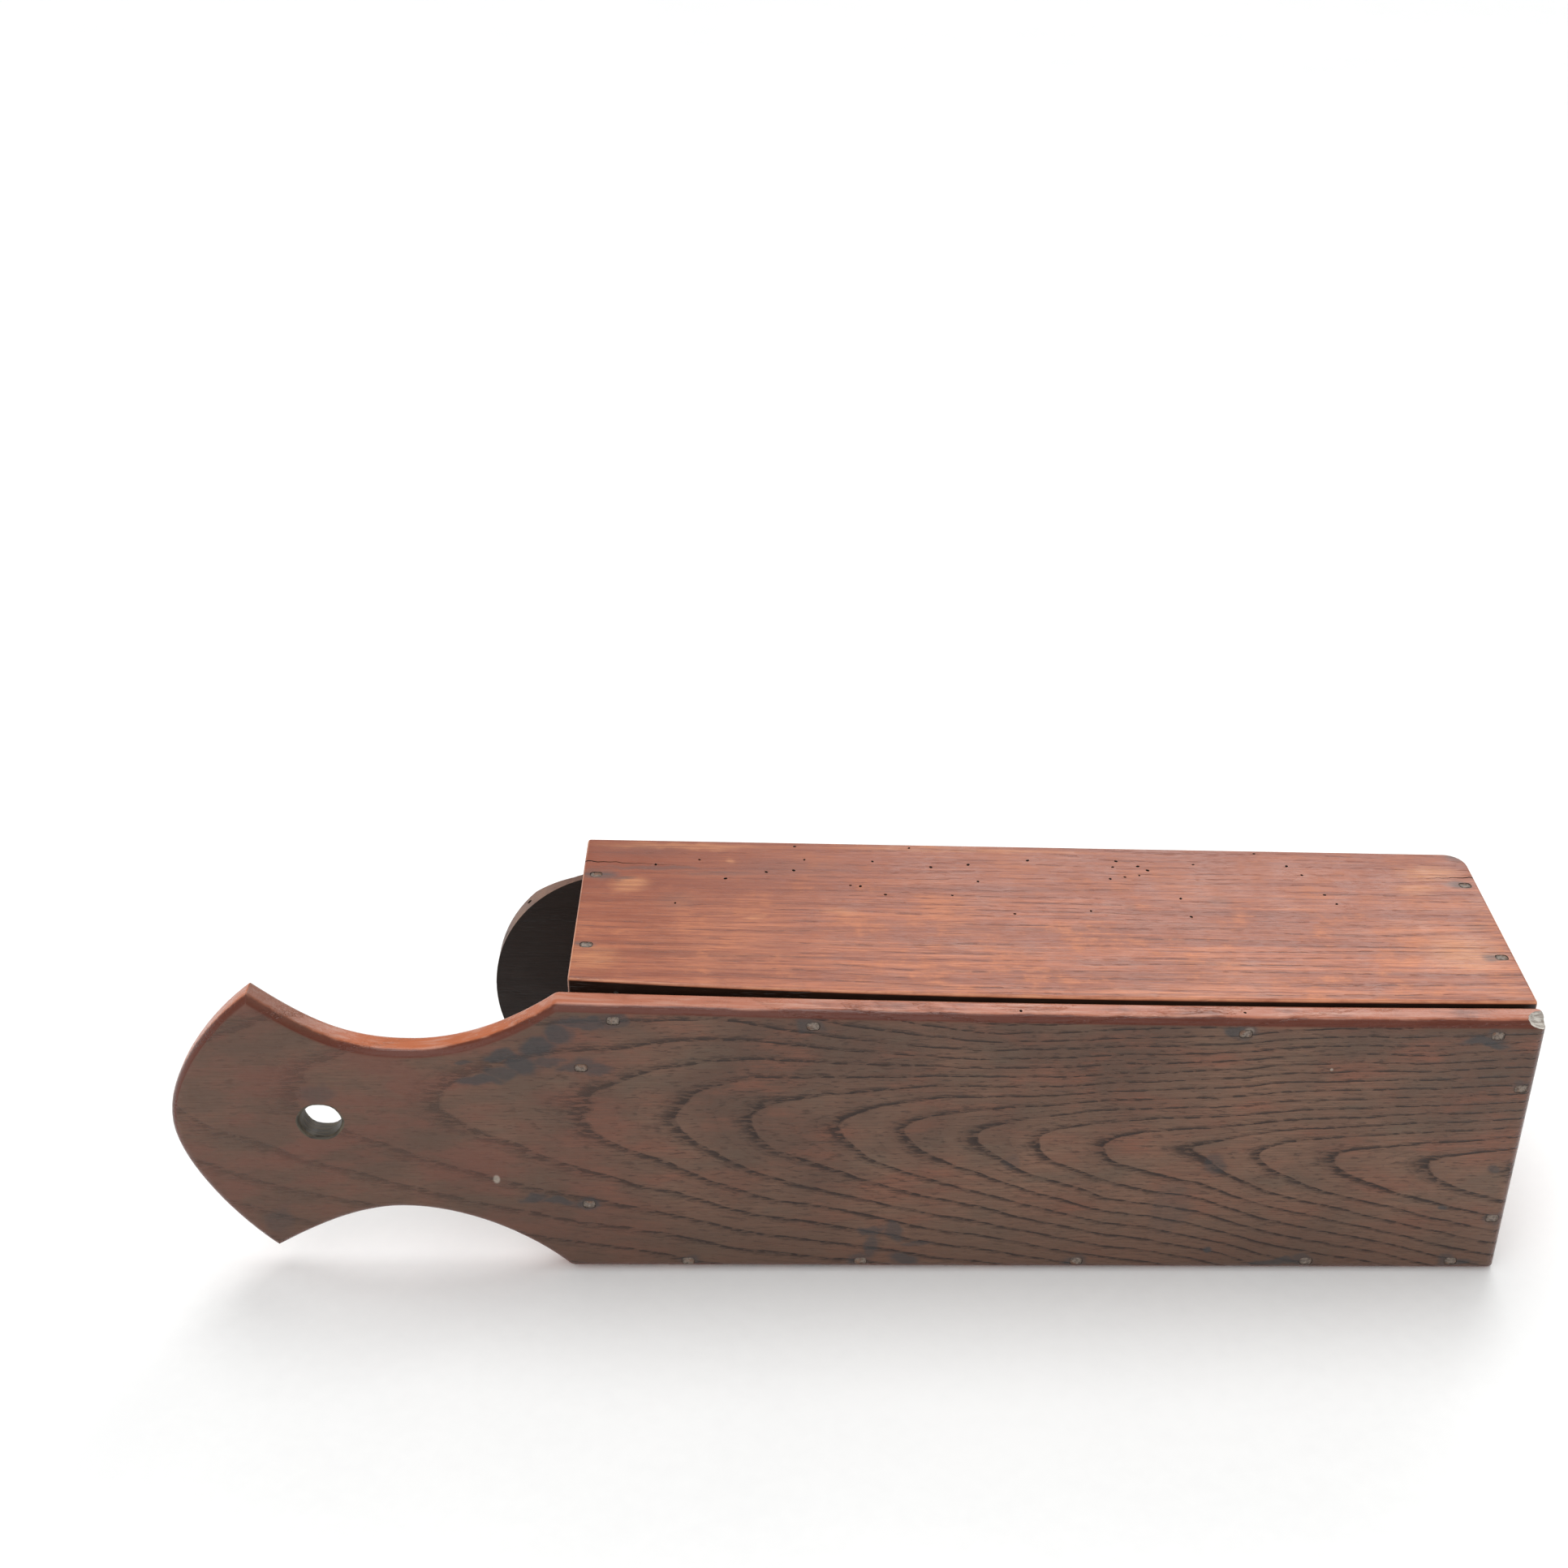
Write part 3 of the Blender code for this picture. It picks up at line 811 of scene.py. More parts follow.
@dataclass(frozen=True)
class StraightWood:
    """Reddish straight-grained wood of the sides, the ends and the lid, with painted shade on the faces that
    turn into the box.
    """

    name: str
    pale: Colour
    middle: Colour
    dark: Colour
    streak: Colour
    worn: Colour
    bright: Colour = (0.62, 0.215, 0.085)
    grain: Grain = Grain.ALONG_X
    # Faces turned the way that inner points, into the box or into the open joint, get a near-black painted
    # shade; the share field below sets how strong it is.
    inner: Place = (0.0, 0.0, 0.0)
    painted_shade_share: float = 0.6
    offset: Place = (0.0, 0.0, 0.0)
    roughness: Point = (0.28, 0.44)
    ring_spacing: float = 0.0041
    # Strength of a painted shade that darkens the top face towards its far edge and towards the handle end.
    painted_far_shade: float = 0.0
    stains: tuple[Mark, ...] = ()
    tan_marks: tuple[Mark, ...] = ()
    stain: Colour = (0.070, 0.060, 0.058)
    tan: Colour = (0.62, 0.27, 0.115)

    def stretched(self, recipe: Recipe, along: float, across: float) -> Socket:
        """Give object coordinates that are stretched along the fibres.

        Args:
            recipe: The material's nodes.
            along: Lumps to a metre along the fibres.
            across: Lumps to a metre across them.

        Returns:
            The coordinates.
        """
        factors = [across, across, across]
        factors[self.grain.value] = along
        moved = recipe.vector("ADD", recipe.place, self.offset)
        return recipe.vector("MULTIPLY", moved, factors)

    def build(self) -> bpy.types.Material:
        """Make the material.

        Returns:
            The material.
        """
        recipe = Recipe(self.name)
        fibre = recipe.noise(self.stretched(recipe, 20.0, 1050.0), detail=4.0, roughness=0.68)
        streaks = recipe.noise(self.stretched(recipe, 6.0, 520.0), detail=2.0, roughness=0.5)
        bands = recipe.noise(self.stretched(recipe, 3.0, 110.0), detail=2.0, roughness=0.5)
        dashes = recipe.noise(self.stretched(recipe, 150.0, 1300.0), detail=1.0)
        cloud = recipe.noise(recipe.vector("ADD", recipe.place, self.offset), 15.0, 5.0, 0.62)
        mottle = recipe.noise(recipe.place, 75.0, 5.0, 0.65)
        bend = recipe.noise(self.stretched(recipe, 7.0, 45.0), detail=1.0)
        across = recipe.split(recipe.place)[1]
        rings = recipe.math("MULTIPLY_ADD", across, 1.0 / self.ring_spacing,
                            recipe.math("MULTIPLY", bend, 4.5))
        phase = recipe.math("FRACT", rings)
        line = recipe.math("MULTIPLY", recipe.step(phase, 0.0, 0.05),
                           recipe.step(phase, 0.08, 0.42, 1.0, 0.0))
        line = recipe.math("MULTIPLY", line, recipe.step(streaks, 0.36, 0.60, 0.25, 1.0))
        colour = recipe.blend(recipe.step(cloud, 0.36, 0.64), self.middle, self.pale)
        colour = recipe.blend(recipe.step(bands, 0.44, 0.66, 0.0, 0.60), colour, self.dark)
        colour = recipe.blend(recipe.step(streaks, 0.48, 0.66, 0.0, 0.40), colour, self.streak)
        colour = recipe.blend(recipe.math("MULTIPLY", line, 0.40), colour, self.streak)
        colour = recipe.blend(recipe.step(mottle, 0.28, 0.48, 0.30, 0.0), colour, self.streak)
        colour = recipe.blend(recipe.step(mottle, 0.50, 0.70, 0.0, 0.60), colour, self.bright)
        colour = recipe.blend(recipe.step(fibre, 0.34, 0.56, 0.80, 0.0), colour, self.dark)
        colour = recipe.blend(recipe.step(fibre, 0.56, 0.72, 0.0, 0.55), colour, self.bright)
        pores = recipe.math("MULTIPLY", recipe.math("MAXIMUM", line, 0.25), recipe.step(dashes, 0.52, 0.64))
        colour = recipe.blend(recipe.math("MULTIPLY", pores, 0.72), colour, self.streak)
        # Painted shade: the top face is darkened towards its far edge and the handle end, where less sheen
        # falls.
        if self.painted_far_shade:
            x, y, _ = recipe.split(recipe.place)
            deep = recipe.math("ADD", recipe.step(y, -0.020, 0.055, 0.0, self.painted_far_shade),
                               recipe.step(x, 0.040, -0.090, 0.0, self.painted_far_shade * 0.6))
            colour = recipe.blend(deep, colour, self.dark)
        warped = recipe.shake(0.0060, 110.0)
        if self.tan_marks:
            masks = [recipe.patch(warped, mark.place, mark.reach, mark.strength, 0.2)
                     for mark in self.tan_marks]
            ragged = recipe.math("MULTIPLY", recipe.most(masks), recipe.step(fibre, 0.36, 0.60, 0.35, 1.0))
            colour = recipe.blend(ragged, colour, self.tan)
        if self.stains:
            masks = [recipe.patch(warped, mark.place, mark.reach, mark.strength, 0.25)
                     for mark in self.stains]
            ragged = recipe.math("MULTIPLY", recipe.most(masks), recipe.step(fibre, 0.64, 0.44, 0.55, 1.0))
            colour = recipe.blend(ragged, colour, self.stain)
        facing = recipe.vector("ABSOLUTE", recipe.normal)
        largest = recipe.most(recipe.split(facing))
        arris = recipe.step(largest, 0.80, 0.985, 1.0, 0.0)
        patchy = recipe.math("MULTIPLY", arris, recipe.step(mottle, 0.36, 0.60, 0.25, 0.85))
        colour = recipe.blend(patchy, colour, self.worn)
        # Painted shade: faces that look into the box, and the upper side's edge in the open joint, are
        # blended towards near black to stand in for the shade inside.
        if any(self.inner):
            turned = recipe.vector("DOT_PRODUCT", recipe.normal, self.inner)
            colour = recipe.blend(recipe.step(turned, 0.6, 0.95, 0.0, self.painted_shade_share), colour,
                                  (0.012, 0.008, 0.006))
        relief = recipe.math("MULTIPLY_ADD", pores, -0.6, recipe.math("MULTIPLY", fibre, 0.55))
        relief = recipe.math("ADD", relief, recipe.math("MULTIPLY", mottle, 0.25))
        rough = recipe.step(mottle, 0.30, 0.70, *self.roughness)
        return recipe.surface(colour, rough, relief, 0.00022, specular=0.42)


@dataclass(frozen=True)
class HoleWall:
    """Dark, dusty wood inside wormholes, cracks and nail holes."""

    name: str = "hole_wall_wood"
    dark: Colour = (0.010, 0.006, 0.005)
    light: Colour = (0.035, 0.020, 0.014)

    def build(self) -> bpy.types.Material:
        """Make the material."""
        recipe = Recipe(self.name)
        grit = recipe.noise(recipe.place, 700.0, 4.0, 0.7)
        colour = recipe.blend(recipe.step(grit, 0.35, 0.65), self.dark, self.light)
        return recipe.surface(colour, recipe.step(grit, 0.3, 0.7, 0.80, 0.95), grit, 0.00020)


@dataclass(frozen=True)
class RustedWood:
    """Wood that the nails have rusted, in the walls of their holes."""

    name: str = "rusted_nail_hole_wood"
    dark: Colour = (0.040, 0.026, 0.020)
    light: Colour = (0.095, 0.058, 0.040)

    def build(self) -> bpy.types.Material:
        """Make the material."""
        recipe = Recipe(self.name)
        grit = recipe.noise(recipe.place, 650.0, 3.0, 0.6)
        colour = recipe.blend(recipe.step(grit, 0.35, 0.65), self.dark, self.light)
        return recipe.surface(colour, recipe.step(grit, 0.3, 0.7, 0.70, 0.90), grit, 0.00015)


@dataclass(frozen=True)
class BoredWall:
    """The wall of the hanging hole: dull, rubbed and a little greasy."""

    name: str = "bored_hole_wood"
    dark: Colour = (0.032, 0.024, 0.015)
    light: Colour = (0.100, 0.078, 0.048)

    def build(self) -> bpy.types.Material:
        """Make the material."""
        recipe = Recipe(self.name)
        turning = recipe.noise(recipe.vector("MULTIPLY", recipe.place, (260.0, 1400.0, 260.0)), detail=4.0)
        colour = recipe.blend(recipe.step(turning, 0.35, 0.68), self.dark, self.light)
        return recipe.surface(colour, recipe.step(turning, 0.3, 0.7, 0.42, 0.62), turning, 0.00020)


@dataclass(frozen=True)
class FreshChip:
    """Pale grey splintered wood where a corner is chipped off."""

    name: str = "chipped_corner_wood"
    pale: Colour = (0.62, 0.58, 0.52)
    grey: Colour = (0.26, 0.22, 0.19)

    def build(self) -> bpy.types.Material:
        """Make the material."""
        recipe = Recipe(self.name)
        splinters = recipe.noise(recipe.vector("MULTIPLY", recipe.place, (180.0, 900.0, 900.0)), detail=5.0,
                                 roughness=0.7)
        colour = recipe.blend(recipe.step(splinters, 0.34, 0.60), self.grey, self.pale)
        return recipe.surface(colour, recipe.step(splinters, 0.3, 0.7, 0.60, 0.85), splinters, 0.00060)


@dataclass(frozen=True)
class NailIron:
    """Dark rusted iron of the cut nails' heads."""

    name: str = "rusted_cut_nail_iron"
    iron: Colour = (0.235, 0.185, 0.150)
    black: Colour = (0.110, 0.084, 0.068)
    rust: Colour = (0.190, 0.098, 0.060)

    def build(self) -> bpy.types.Material:
        """Make the material."""
        recipe = Recipe(self.name)
        pits = recipe.noise(recipe.place, 900.0, 4.0, 0.65)
        scale = recipe.noise(recipe.place, 330.0, 3.0, 0.6)
        colour = recipe.blend(recipe.step(pits, 0.36, 0.60), self.black, self.iron)
        colour = recipe.blend(recipe.step(scale, 0.50, 0.66, 0.0, 0.8), colour, self.rust)
        rough = recipe.step(scale, 0.35, 0.70, 0.40, 0.75)
        return recipe.surface(colour, rough, pits, 0.00025, metallic=0.15)


@dataclass(frozen=True)
class StudioFloor:
    """Plain pale ground with the faintest mottling."""

    name: str = "pale_studio_floor"
    pale: Colour = (0.925, 0.930, 0.925)
    grey: Colour = (0.895, 0.900, 0.897)

    def build(self) -> bpy.types.Material:
        """Make the material."""
        recipe = Recipe(self.name)
        mottle = recipe.noise(recipe.place, 5.0, 4.0, 0.6)
        grit = recipe.noise(recipe.place, 160.0, 3.0, 0.6)
        mixed = recipe.math("MULTIPLY_ADD", grit, 0.4, mottle)
        colour = recipe.blend(recipe.step(mixed, 0.50, 0.90), self.grey, self.pale)
        return recipe.surface(colour, recipe.step(grit, 0.3, 0.7, 0.55, 0.75), grit, 0.00010, specular=0.25)


# ---- sizes shared by the boards ----------------------------------------------------------------
@dataclass(frozen=True)
class CaseSizes:
    """Planes and heights of the box, most of them read from the CAD nodes."""

    foot_x: float
    wall_y: float
    front_y: float
    side_start_x: float
    height_at_shoulder: float
    height_at_foot: float
    shoulder_to_foot: float = 0.3262
    side_thickness: float = 0.0095
    back_thickness: float = 0.0105
    top_hollow: float = 0.0014
    gap: float = 0.0003
    groove_depth: float = 0.0033
    tongue_thickness: float = 0.0033

    @classmethod
    def from_frame(cls) -> "CaseSizes":
        """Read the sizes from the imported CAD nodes."""
        back_low, back_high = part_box("back_board")
        side_low, side_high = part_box("upper_side")
        return cls(foot_x=back_high.x, wall_y=back_low.y, front_y=side_high.y, side_start_x=side_low.x,
                   height_at_shoulder=0.1157, height_at_foot=0.1088)

    @property
    def shoulder_x(self) -> float:
        """Where the straight part of the back board begins."""
        return self.foot_x - self.shoulder_to_foot

    @property
    def lid_inner_y(self) -> float:
        """The lid's inner face."""
        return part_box("sliding_lid")[0].y

    def share(self, x: float) -> float:
        """How far x is from the shoulder to the foot, from 0 to 1."""
        return (x - self.shoulder_x) / self.shoulder_to_foot

    def taper_height(self, x: float) -> float:
        """Height of the straight line along the top at x."""
        return self.height_at_shoulder + (self.height_at_foot - self.height_at_shoulder) * self.share(x)

    def top_height(self, x: float) -> float:
        """Height of the hollow upper edge next to the back board at x."""
        share = self.share(x)
        return self.taper_height(x) - self.top_hollow * 4.0 * share * (1.0 - share)

    def inner_height(self, x: float) -> float:
        """Height of the upper side's inner face at x."""
        return self.taper_height(x) - self.side_thickness


def curve_points(start: Point, start_handle: Point, end_handle: Point, end: Point,
                 steps: int) -> list[Point]:
    """Follow a cubic curve.

    Args:
        start: First point.
        start_handle: Where the curve heads at first.
        end_handle: Where it comes from at last.
        end: Last point.
        steps: How many points.

    Returns:
        The points, without the last.
    """
    corners = (start, start_handle, end_handle, end)
    points = []
    for step in range(steps):
        share = step / steps
        rest = 1.0 - share
        weights = (rest ** 3, 3 * share * rest ** 2, 3 * share ** 2 * rest, share ** 3)
        points.append(tuple(sum(weight * corner[axis] for weight, corner in zip(weights, corners))
                            for axis in (0, 1)))
    return points


def wobble(value: float, seed: float) -> float:
    """A smooth number between -1 and 1 that is the same each time."""
    return math.sin(value * 1.7 + seed) * 0.6 + math.sin(value * 4.3 + seed * 2.1) * 0.4


# ---- cutters -----------------------------------------------------------------------------------
@dataclass
class Wormholes:
    """Beetle holes in one board, all of them one cutter."""

    name: str
    places: Sequence[Place]
    inwards: Driven = Driven.DOWN
    radius: float = 0.00072
    depth: float = 0.0050
    spread: float = 0.22

    def build(self, material: bpy.types.Material) -> Piece:
        """Model one burrow and copy it to each place.

        Args:
            material: Finish of the burrows' walls.

        Returns:
            The cutter.
        """
        radii = (self.radius * 0.62, self.radius)
        burrow = Bench.add_rod("burrow", (0.0, 0.0, 0.0), radii, self.depth * 2, 10)
        with Editing(burrow) as edit:
            edit.slice_across(2, (-self.depth * 0.5, 0.0))
            edit.pick_vertices(lambda place: abs(place.z) < 1e-5)
            edit.scale((0.86, 1.10, 1.0), (0.0, 0.0, 0.0))
            edit.face_outwards()
        burrow.data.materials.append(material)
        copies = []
        for number, place in enumerate(self.places):
            lean = wobble(number, 0.7) * self.spread
            turn = (self.inwards.value + lean, lean * 0.6, number)
            twin = Bench.copy(burrow, f"burrow_{number}", place, turn)
            wide = 1.0 + 0.22 * wobble(number * 2.0, 1.9)
            with Editing(twin) as edit:
                bpy.ops.mesh.select_all(action="SELECT")
                edit.scale((wide, wide, wide), tuple(place))
            copies.append(twin)
        Bench.remove(burrow)
        return Bench.join(self.name, copies)


@dataclass
class Crack:
    """A ragged split along the grain of the upper side."""

    name: str
    start: Place
    end: Place
    width: float
    depth: float
    widest_at_start: bool = True
    stations: int = 18

    def build(self, material: bpy.types.Material) -> Piece:
        """Model the split as a thin wedge.

        Args:
            material: Finish of its walls.

        Returns:
            The cutter.
        """
        top = max(self.start[2], self.end[2]) + 0.002
        low = (self.start[0], -0.5 * self.width, -self.depth)
        high = (self.end[0], 0.5 * self.width, 0.002)
        wedge = Bench.add_block(self.name, low, high)
        run = self.end[0] - self.start[0]
        places = [self.start[0] + run * number / self.stations for number in range(1, self.stations)]

        def bend(_: int, place: Vector) -> Vector:
            """Taper and bend the wedge at one vertex."""
            share = (place.x - self.start[0]) / run
            open_share = 1.0 - share if self.widest_at_start else share
            middle_y = self.start[1] + (self.end[1] - self.start[1]) * share
            middle_y += 0.0004 * wobble(share * 14.0, 0.3)
            narrow = 0.12 + 0.88 * open_share ** 1.3
            if place.z < 0.0:
                narrow *= 0.3
                bottom = self.start[2] + (self.end[2] - self.start[2]) * share
                bottom -= self.depth * (0.35 + 0.65 * open_share)
                return Vector((place.x, middle_y + place.y * narrow, bottom))
            return Vector((place.x, middle_y + place.y * narrow, top))

        with Editing(wedge) as edit:
            edit.slice_across(0, places)
            edit.reshape(bend)
            edit.face_outwards()
        wedge.data.materials.append(material)
        return wedge


# ---- pieces ------------------------------------------------------------------------------------
@dataclass
class Board:
    """What every board has: a name, a body, a slot and the CAD node that it stands for."""

    sizes: CaseSizes
    node: str = "board"
    slot: Slot = Slot.END_BOARD
    body: Body = Body.CASE
    arris: float = 0.0009

    def mount(self, piece: Piece) -> None:
        """Hang the finished piece on its body in place of its CAD node."""
        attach(piece, self.body.value)
        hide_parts(self.node)
        faces = len(piece.data.polygons)
        log.info("%s: %d faces on %s", piece.name, faces, self.body.value)

    def ease_arrises(self, piece: Piece, segments: int = 3) -> None:
        """Round every sharp edge of a piece a little."""
        with Editing(piece) as edit:
            edit.pick_arrises()
            edit.bevel(self.arris, segments)
            edit.face_outwards()


@dataclass
class BackBoard(Board):
    """The wall board, which runs on into the fishtail handle."""

    node: str = "back_board"
    slot: Slot = Slot.BACK_BOARD
    top_tip: Point = (-0.1974, 0.1196)
    bottom_tip: Point = (-0.1993, 0.0108)
    nose: Point = (-0.2291, 0.0660)
    upper_waist: Point = (-0.1460, 0.0967)
    lower_waist: Point = (-0.1540, 0.0288)
    lift_at_shoulder: float = 0.0015
    lift_at_foot: float = 0.0004
    wall_round: float = 0.0040
    inner_round: float = 0.0030
    hole_centre: Point = (-0.1785, 0.0669)
    hole_radius: float = 0.0069
    hole_fall: float = 0.0018
    corner_wear: float = 0.0011
    corner_reach: float = 0.0085
    chip_radius: float = 0.0052
    chip_shape: Place = (1.45, 1.0, 0.90)
    burrows: tuple[Point, ...] = ((0.0560, 0.0042), (0.1300, 0.0050))

    def outline(self) -> list[Point]:
        """Draw the board's outline.

        Returns:
            X and Z of its points, in order.
        """
        sizes = self.sizes
        shoulder = (sizes.shoulder_x, sizes.top_height(sizes.shoulder_x))
        low_shoulder = (sizes.shoulder_x, self.lift_at_shoulder)
        waist_z, low_waist_z = self.upper_waist[1], self.lower_waist[1]
        points = [(sizes.foot_x, self.lift_at_foot)]
        for step in range(14):
            x = sizes.foot_x - sizes.shoulder_to_foot * step / 14
            points.append((x, sizes.top_height(x)))
        points += curve_points(shoulder, (-0.1080, 0.1074), (-0.1260, waist_z), self.upper_waist, 16)
        points += curve_points(self.upper_waist, (-0.1680, waist_z), (-0.1800, 0.1045), self.top_tip, 16)
        points += curve_points(self.top_tip, (-0.2115, 0.1085), (self.nose[0], 0.0860), self.nose, 16)
        points += curve_points(self.nose, (self.nose[0], 0.0480), (-0.2120, 0.0224), self.bottom_tip, 16)
        points += curve_points(self.bottom_tip, (-0.1864, 0.0190), (-0.1700, low_waist_z),
                               self.lower_waist, 16)
        points += curve_points(self.lower_waist, (-0.1330, low_waist_z), (-0.1110, 0.0165), low_shoulder, 16)
        points.append(low_shoulder)
        return points

    def corners(self) -> list[tuple[Point, Vector]]:
        """Find the outline's six sharp corners.

        Returns:
            Each corner, and the direction in the X-Z plane that halves it.
        """
        points = self.outline()
        sharp = []
        for number, point in enumerate(points):
            before = Vector(points[number - 1]) - Vector(point)
            after = Vector(points[(number + 1) % len(points)]) - Vector(point)
            if before.angle(after) < math.radians(160.0):
                sharp.append((point, (before.normalized() + after.normalized()).normalized()))
        return sharp

    def on_corner(self, place: Vector, corner: Point, inwards: Vector) -> bool:
        """Say whether a point lies on the line that halves a corner, close to the corner."""
        away = Vector((place.x - corner[0], place.z - corner[1]))
        return away.length < self.corner_reach and abs(away.x * inwards.y - away.y * inwards.x) < 0.00006

    def hanging_hole(self, material: bpy.types.Material) -> Piece:
        """Model the waste of the worn hanging hole, wider at both faces and a little out of round.

        Args:
            material: Finish of the hole's wall.

        Returns:
            The cutter.
        """
        sizes = self.sizes
        middle_y = sizes.wall_y + sizes.back_thickness / 2
        half = sizes.back_thickness / 2
        centre = (self.hole_centre[0], middle_y, self.hole_centre[1])
        radii = (self.hole_radius, self.hole_radius)
        bobbin = Bench.add_rod("hanging_hole", centre, radii, half * 2 + 0.004, 24, (math.pi / 2, 0.0, 0.0))
        with Editing(bobbin) as edit:
            edit.slice_across(1, (middle_y - half, middle_y - half + 0.0004, middle_y - half + 0.0012,
                                  middle_y + half - 0.0012, middle_y + half - 0.0004, middle_y + half))
            mouth, throat = half - 0.0003, half - 0.0008
            for near, far, factor in ((mouth, math.inf, 1.16), (throat, mouth, 1.055)):
                edit.pick_vertices(lambda place: near < abs(place.y - middle_y) < far)
                edit.scale((factor, 1.0, factor), centre)
            edit.reshape(lambda number, place: self.out_of_round(place, centre))
            edit.face_outwards()
        bobbin.data.materials.append(material)
        return bobbin

    def out_of_round(self, place: Vector, centre: Place) -> Vector:
        """Move a point of the hole's wall so that the hole is a little six-sided."""
        angle = math.atan2(place.z - centre[2], place.x - centre[0])
        factor = 1.0 + 0.016 * math.cos(6.0 * angle + 0.5) + 0.030 * math.cos(2.0 * angle - 0.6)
        fall = self.hole_fall * (place.y - centre[1]) / self.sizes.back_thickness
        return Vector((centre[0] + (place.x - centre[0]) * factor, place.y,
                       centre[2] - fall + (place.z - centre[2]) * factor))

    def corner_chip(self, material: bpy.types.Material) -> Piece:
        """Model the splinter that is missing from the upper foot corner.

        Args:
            material: Finish of the broken face.

        Returns:
            The cutter.
        """
        sizes = self.sizes
        Bench.clear_selection()
        place = (sizes.foot_x + 0.0006, sizes.wall_y + 0.0024, sizes.height_at_foot + 0.0016)
        bpy.ops.mesh.primitive_ico_sphere_add(subdivisions=3, radius=self.chip_radius, location=place,
                                              scale=self.chip_shape)
        chip = Bench.adopt_new("corner_chip")
        with Editing(chip) as edit:
            bpy.ops.mesh.select_all(action="SELECT")
            edit.roughen(0.00045, 4)
        chip.data.materials.append(material)
        return chip

    def build(self, wood: ArchedWood, nail_holes: Piece, hole_wall: bpy.types.Material,
              bored: bpy.types.Material, chipped: bpy.types.Material) -> Piece:
        """Build the board.

        Args:
            wood: Its wood.
            nail_holes: The nails' cutter.
            hole_wall: Finish inside small holes.
            bored: Finish inside the hanging hole.
            chipped: Finish of the broken corner.

        Returns:
            The board.
        """
        sizes = self.sizes
        board = Bench.add_plank("back_board_worn", self.outline(), sizes.wall_y, sizes.back_thickness)
        far_y = sizes.wall_y + sizes.back_thickness
        with Editing(board) as edit:
            edit.pick_edges(lambda a, b: abs(a.y - sizes.wall_y) < 1e-6 and abs(b.y - sizes.wall_y) < 1e-6)
            edit.bevel(self.wall_round, 8)
            edit.pick_edges(lambda a, b: abs(a.y - far_y) < 1e-6 and abs(b.y - far_y) < 1e-6)
            edit.bevel(self.inner_round, 5)
            for corner, inwards in self.corners():
                edit.pick_edges(lambda a, b: self.on_corner(a, corner, inwards)
                                and self.on_corner(b, corner, inwards))
                edit.bevel(self.corner_wear, 4)
            edit.face_outwards()
        board.data.materials.append(wood.build())
        Bench.cut(board, self.hanging_hole(bored))
        Bench.cut(board, nail_holes, keep_cutter=True)
        places = [(x, sizes.wall_y + depth, sizes.top_height(x)) for x, depth in self.burrows]
        Bench.cut(board, Wormholes("back_board_burrows", places).build(hole_wall))
        Bench.cut(board, self.corner_chip(chipped))
        Bench.finish(board)
        self.mount(board)
        return board


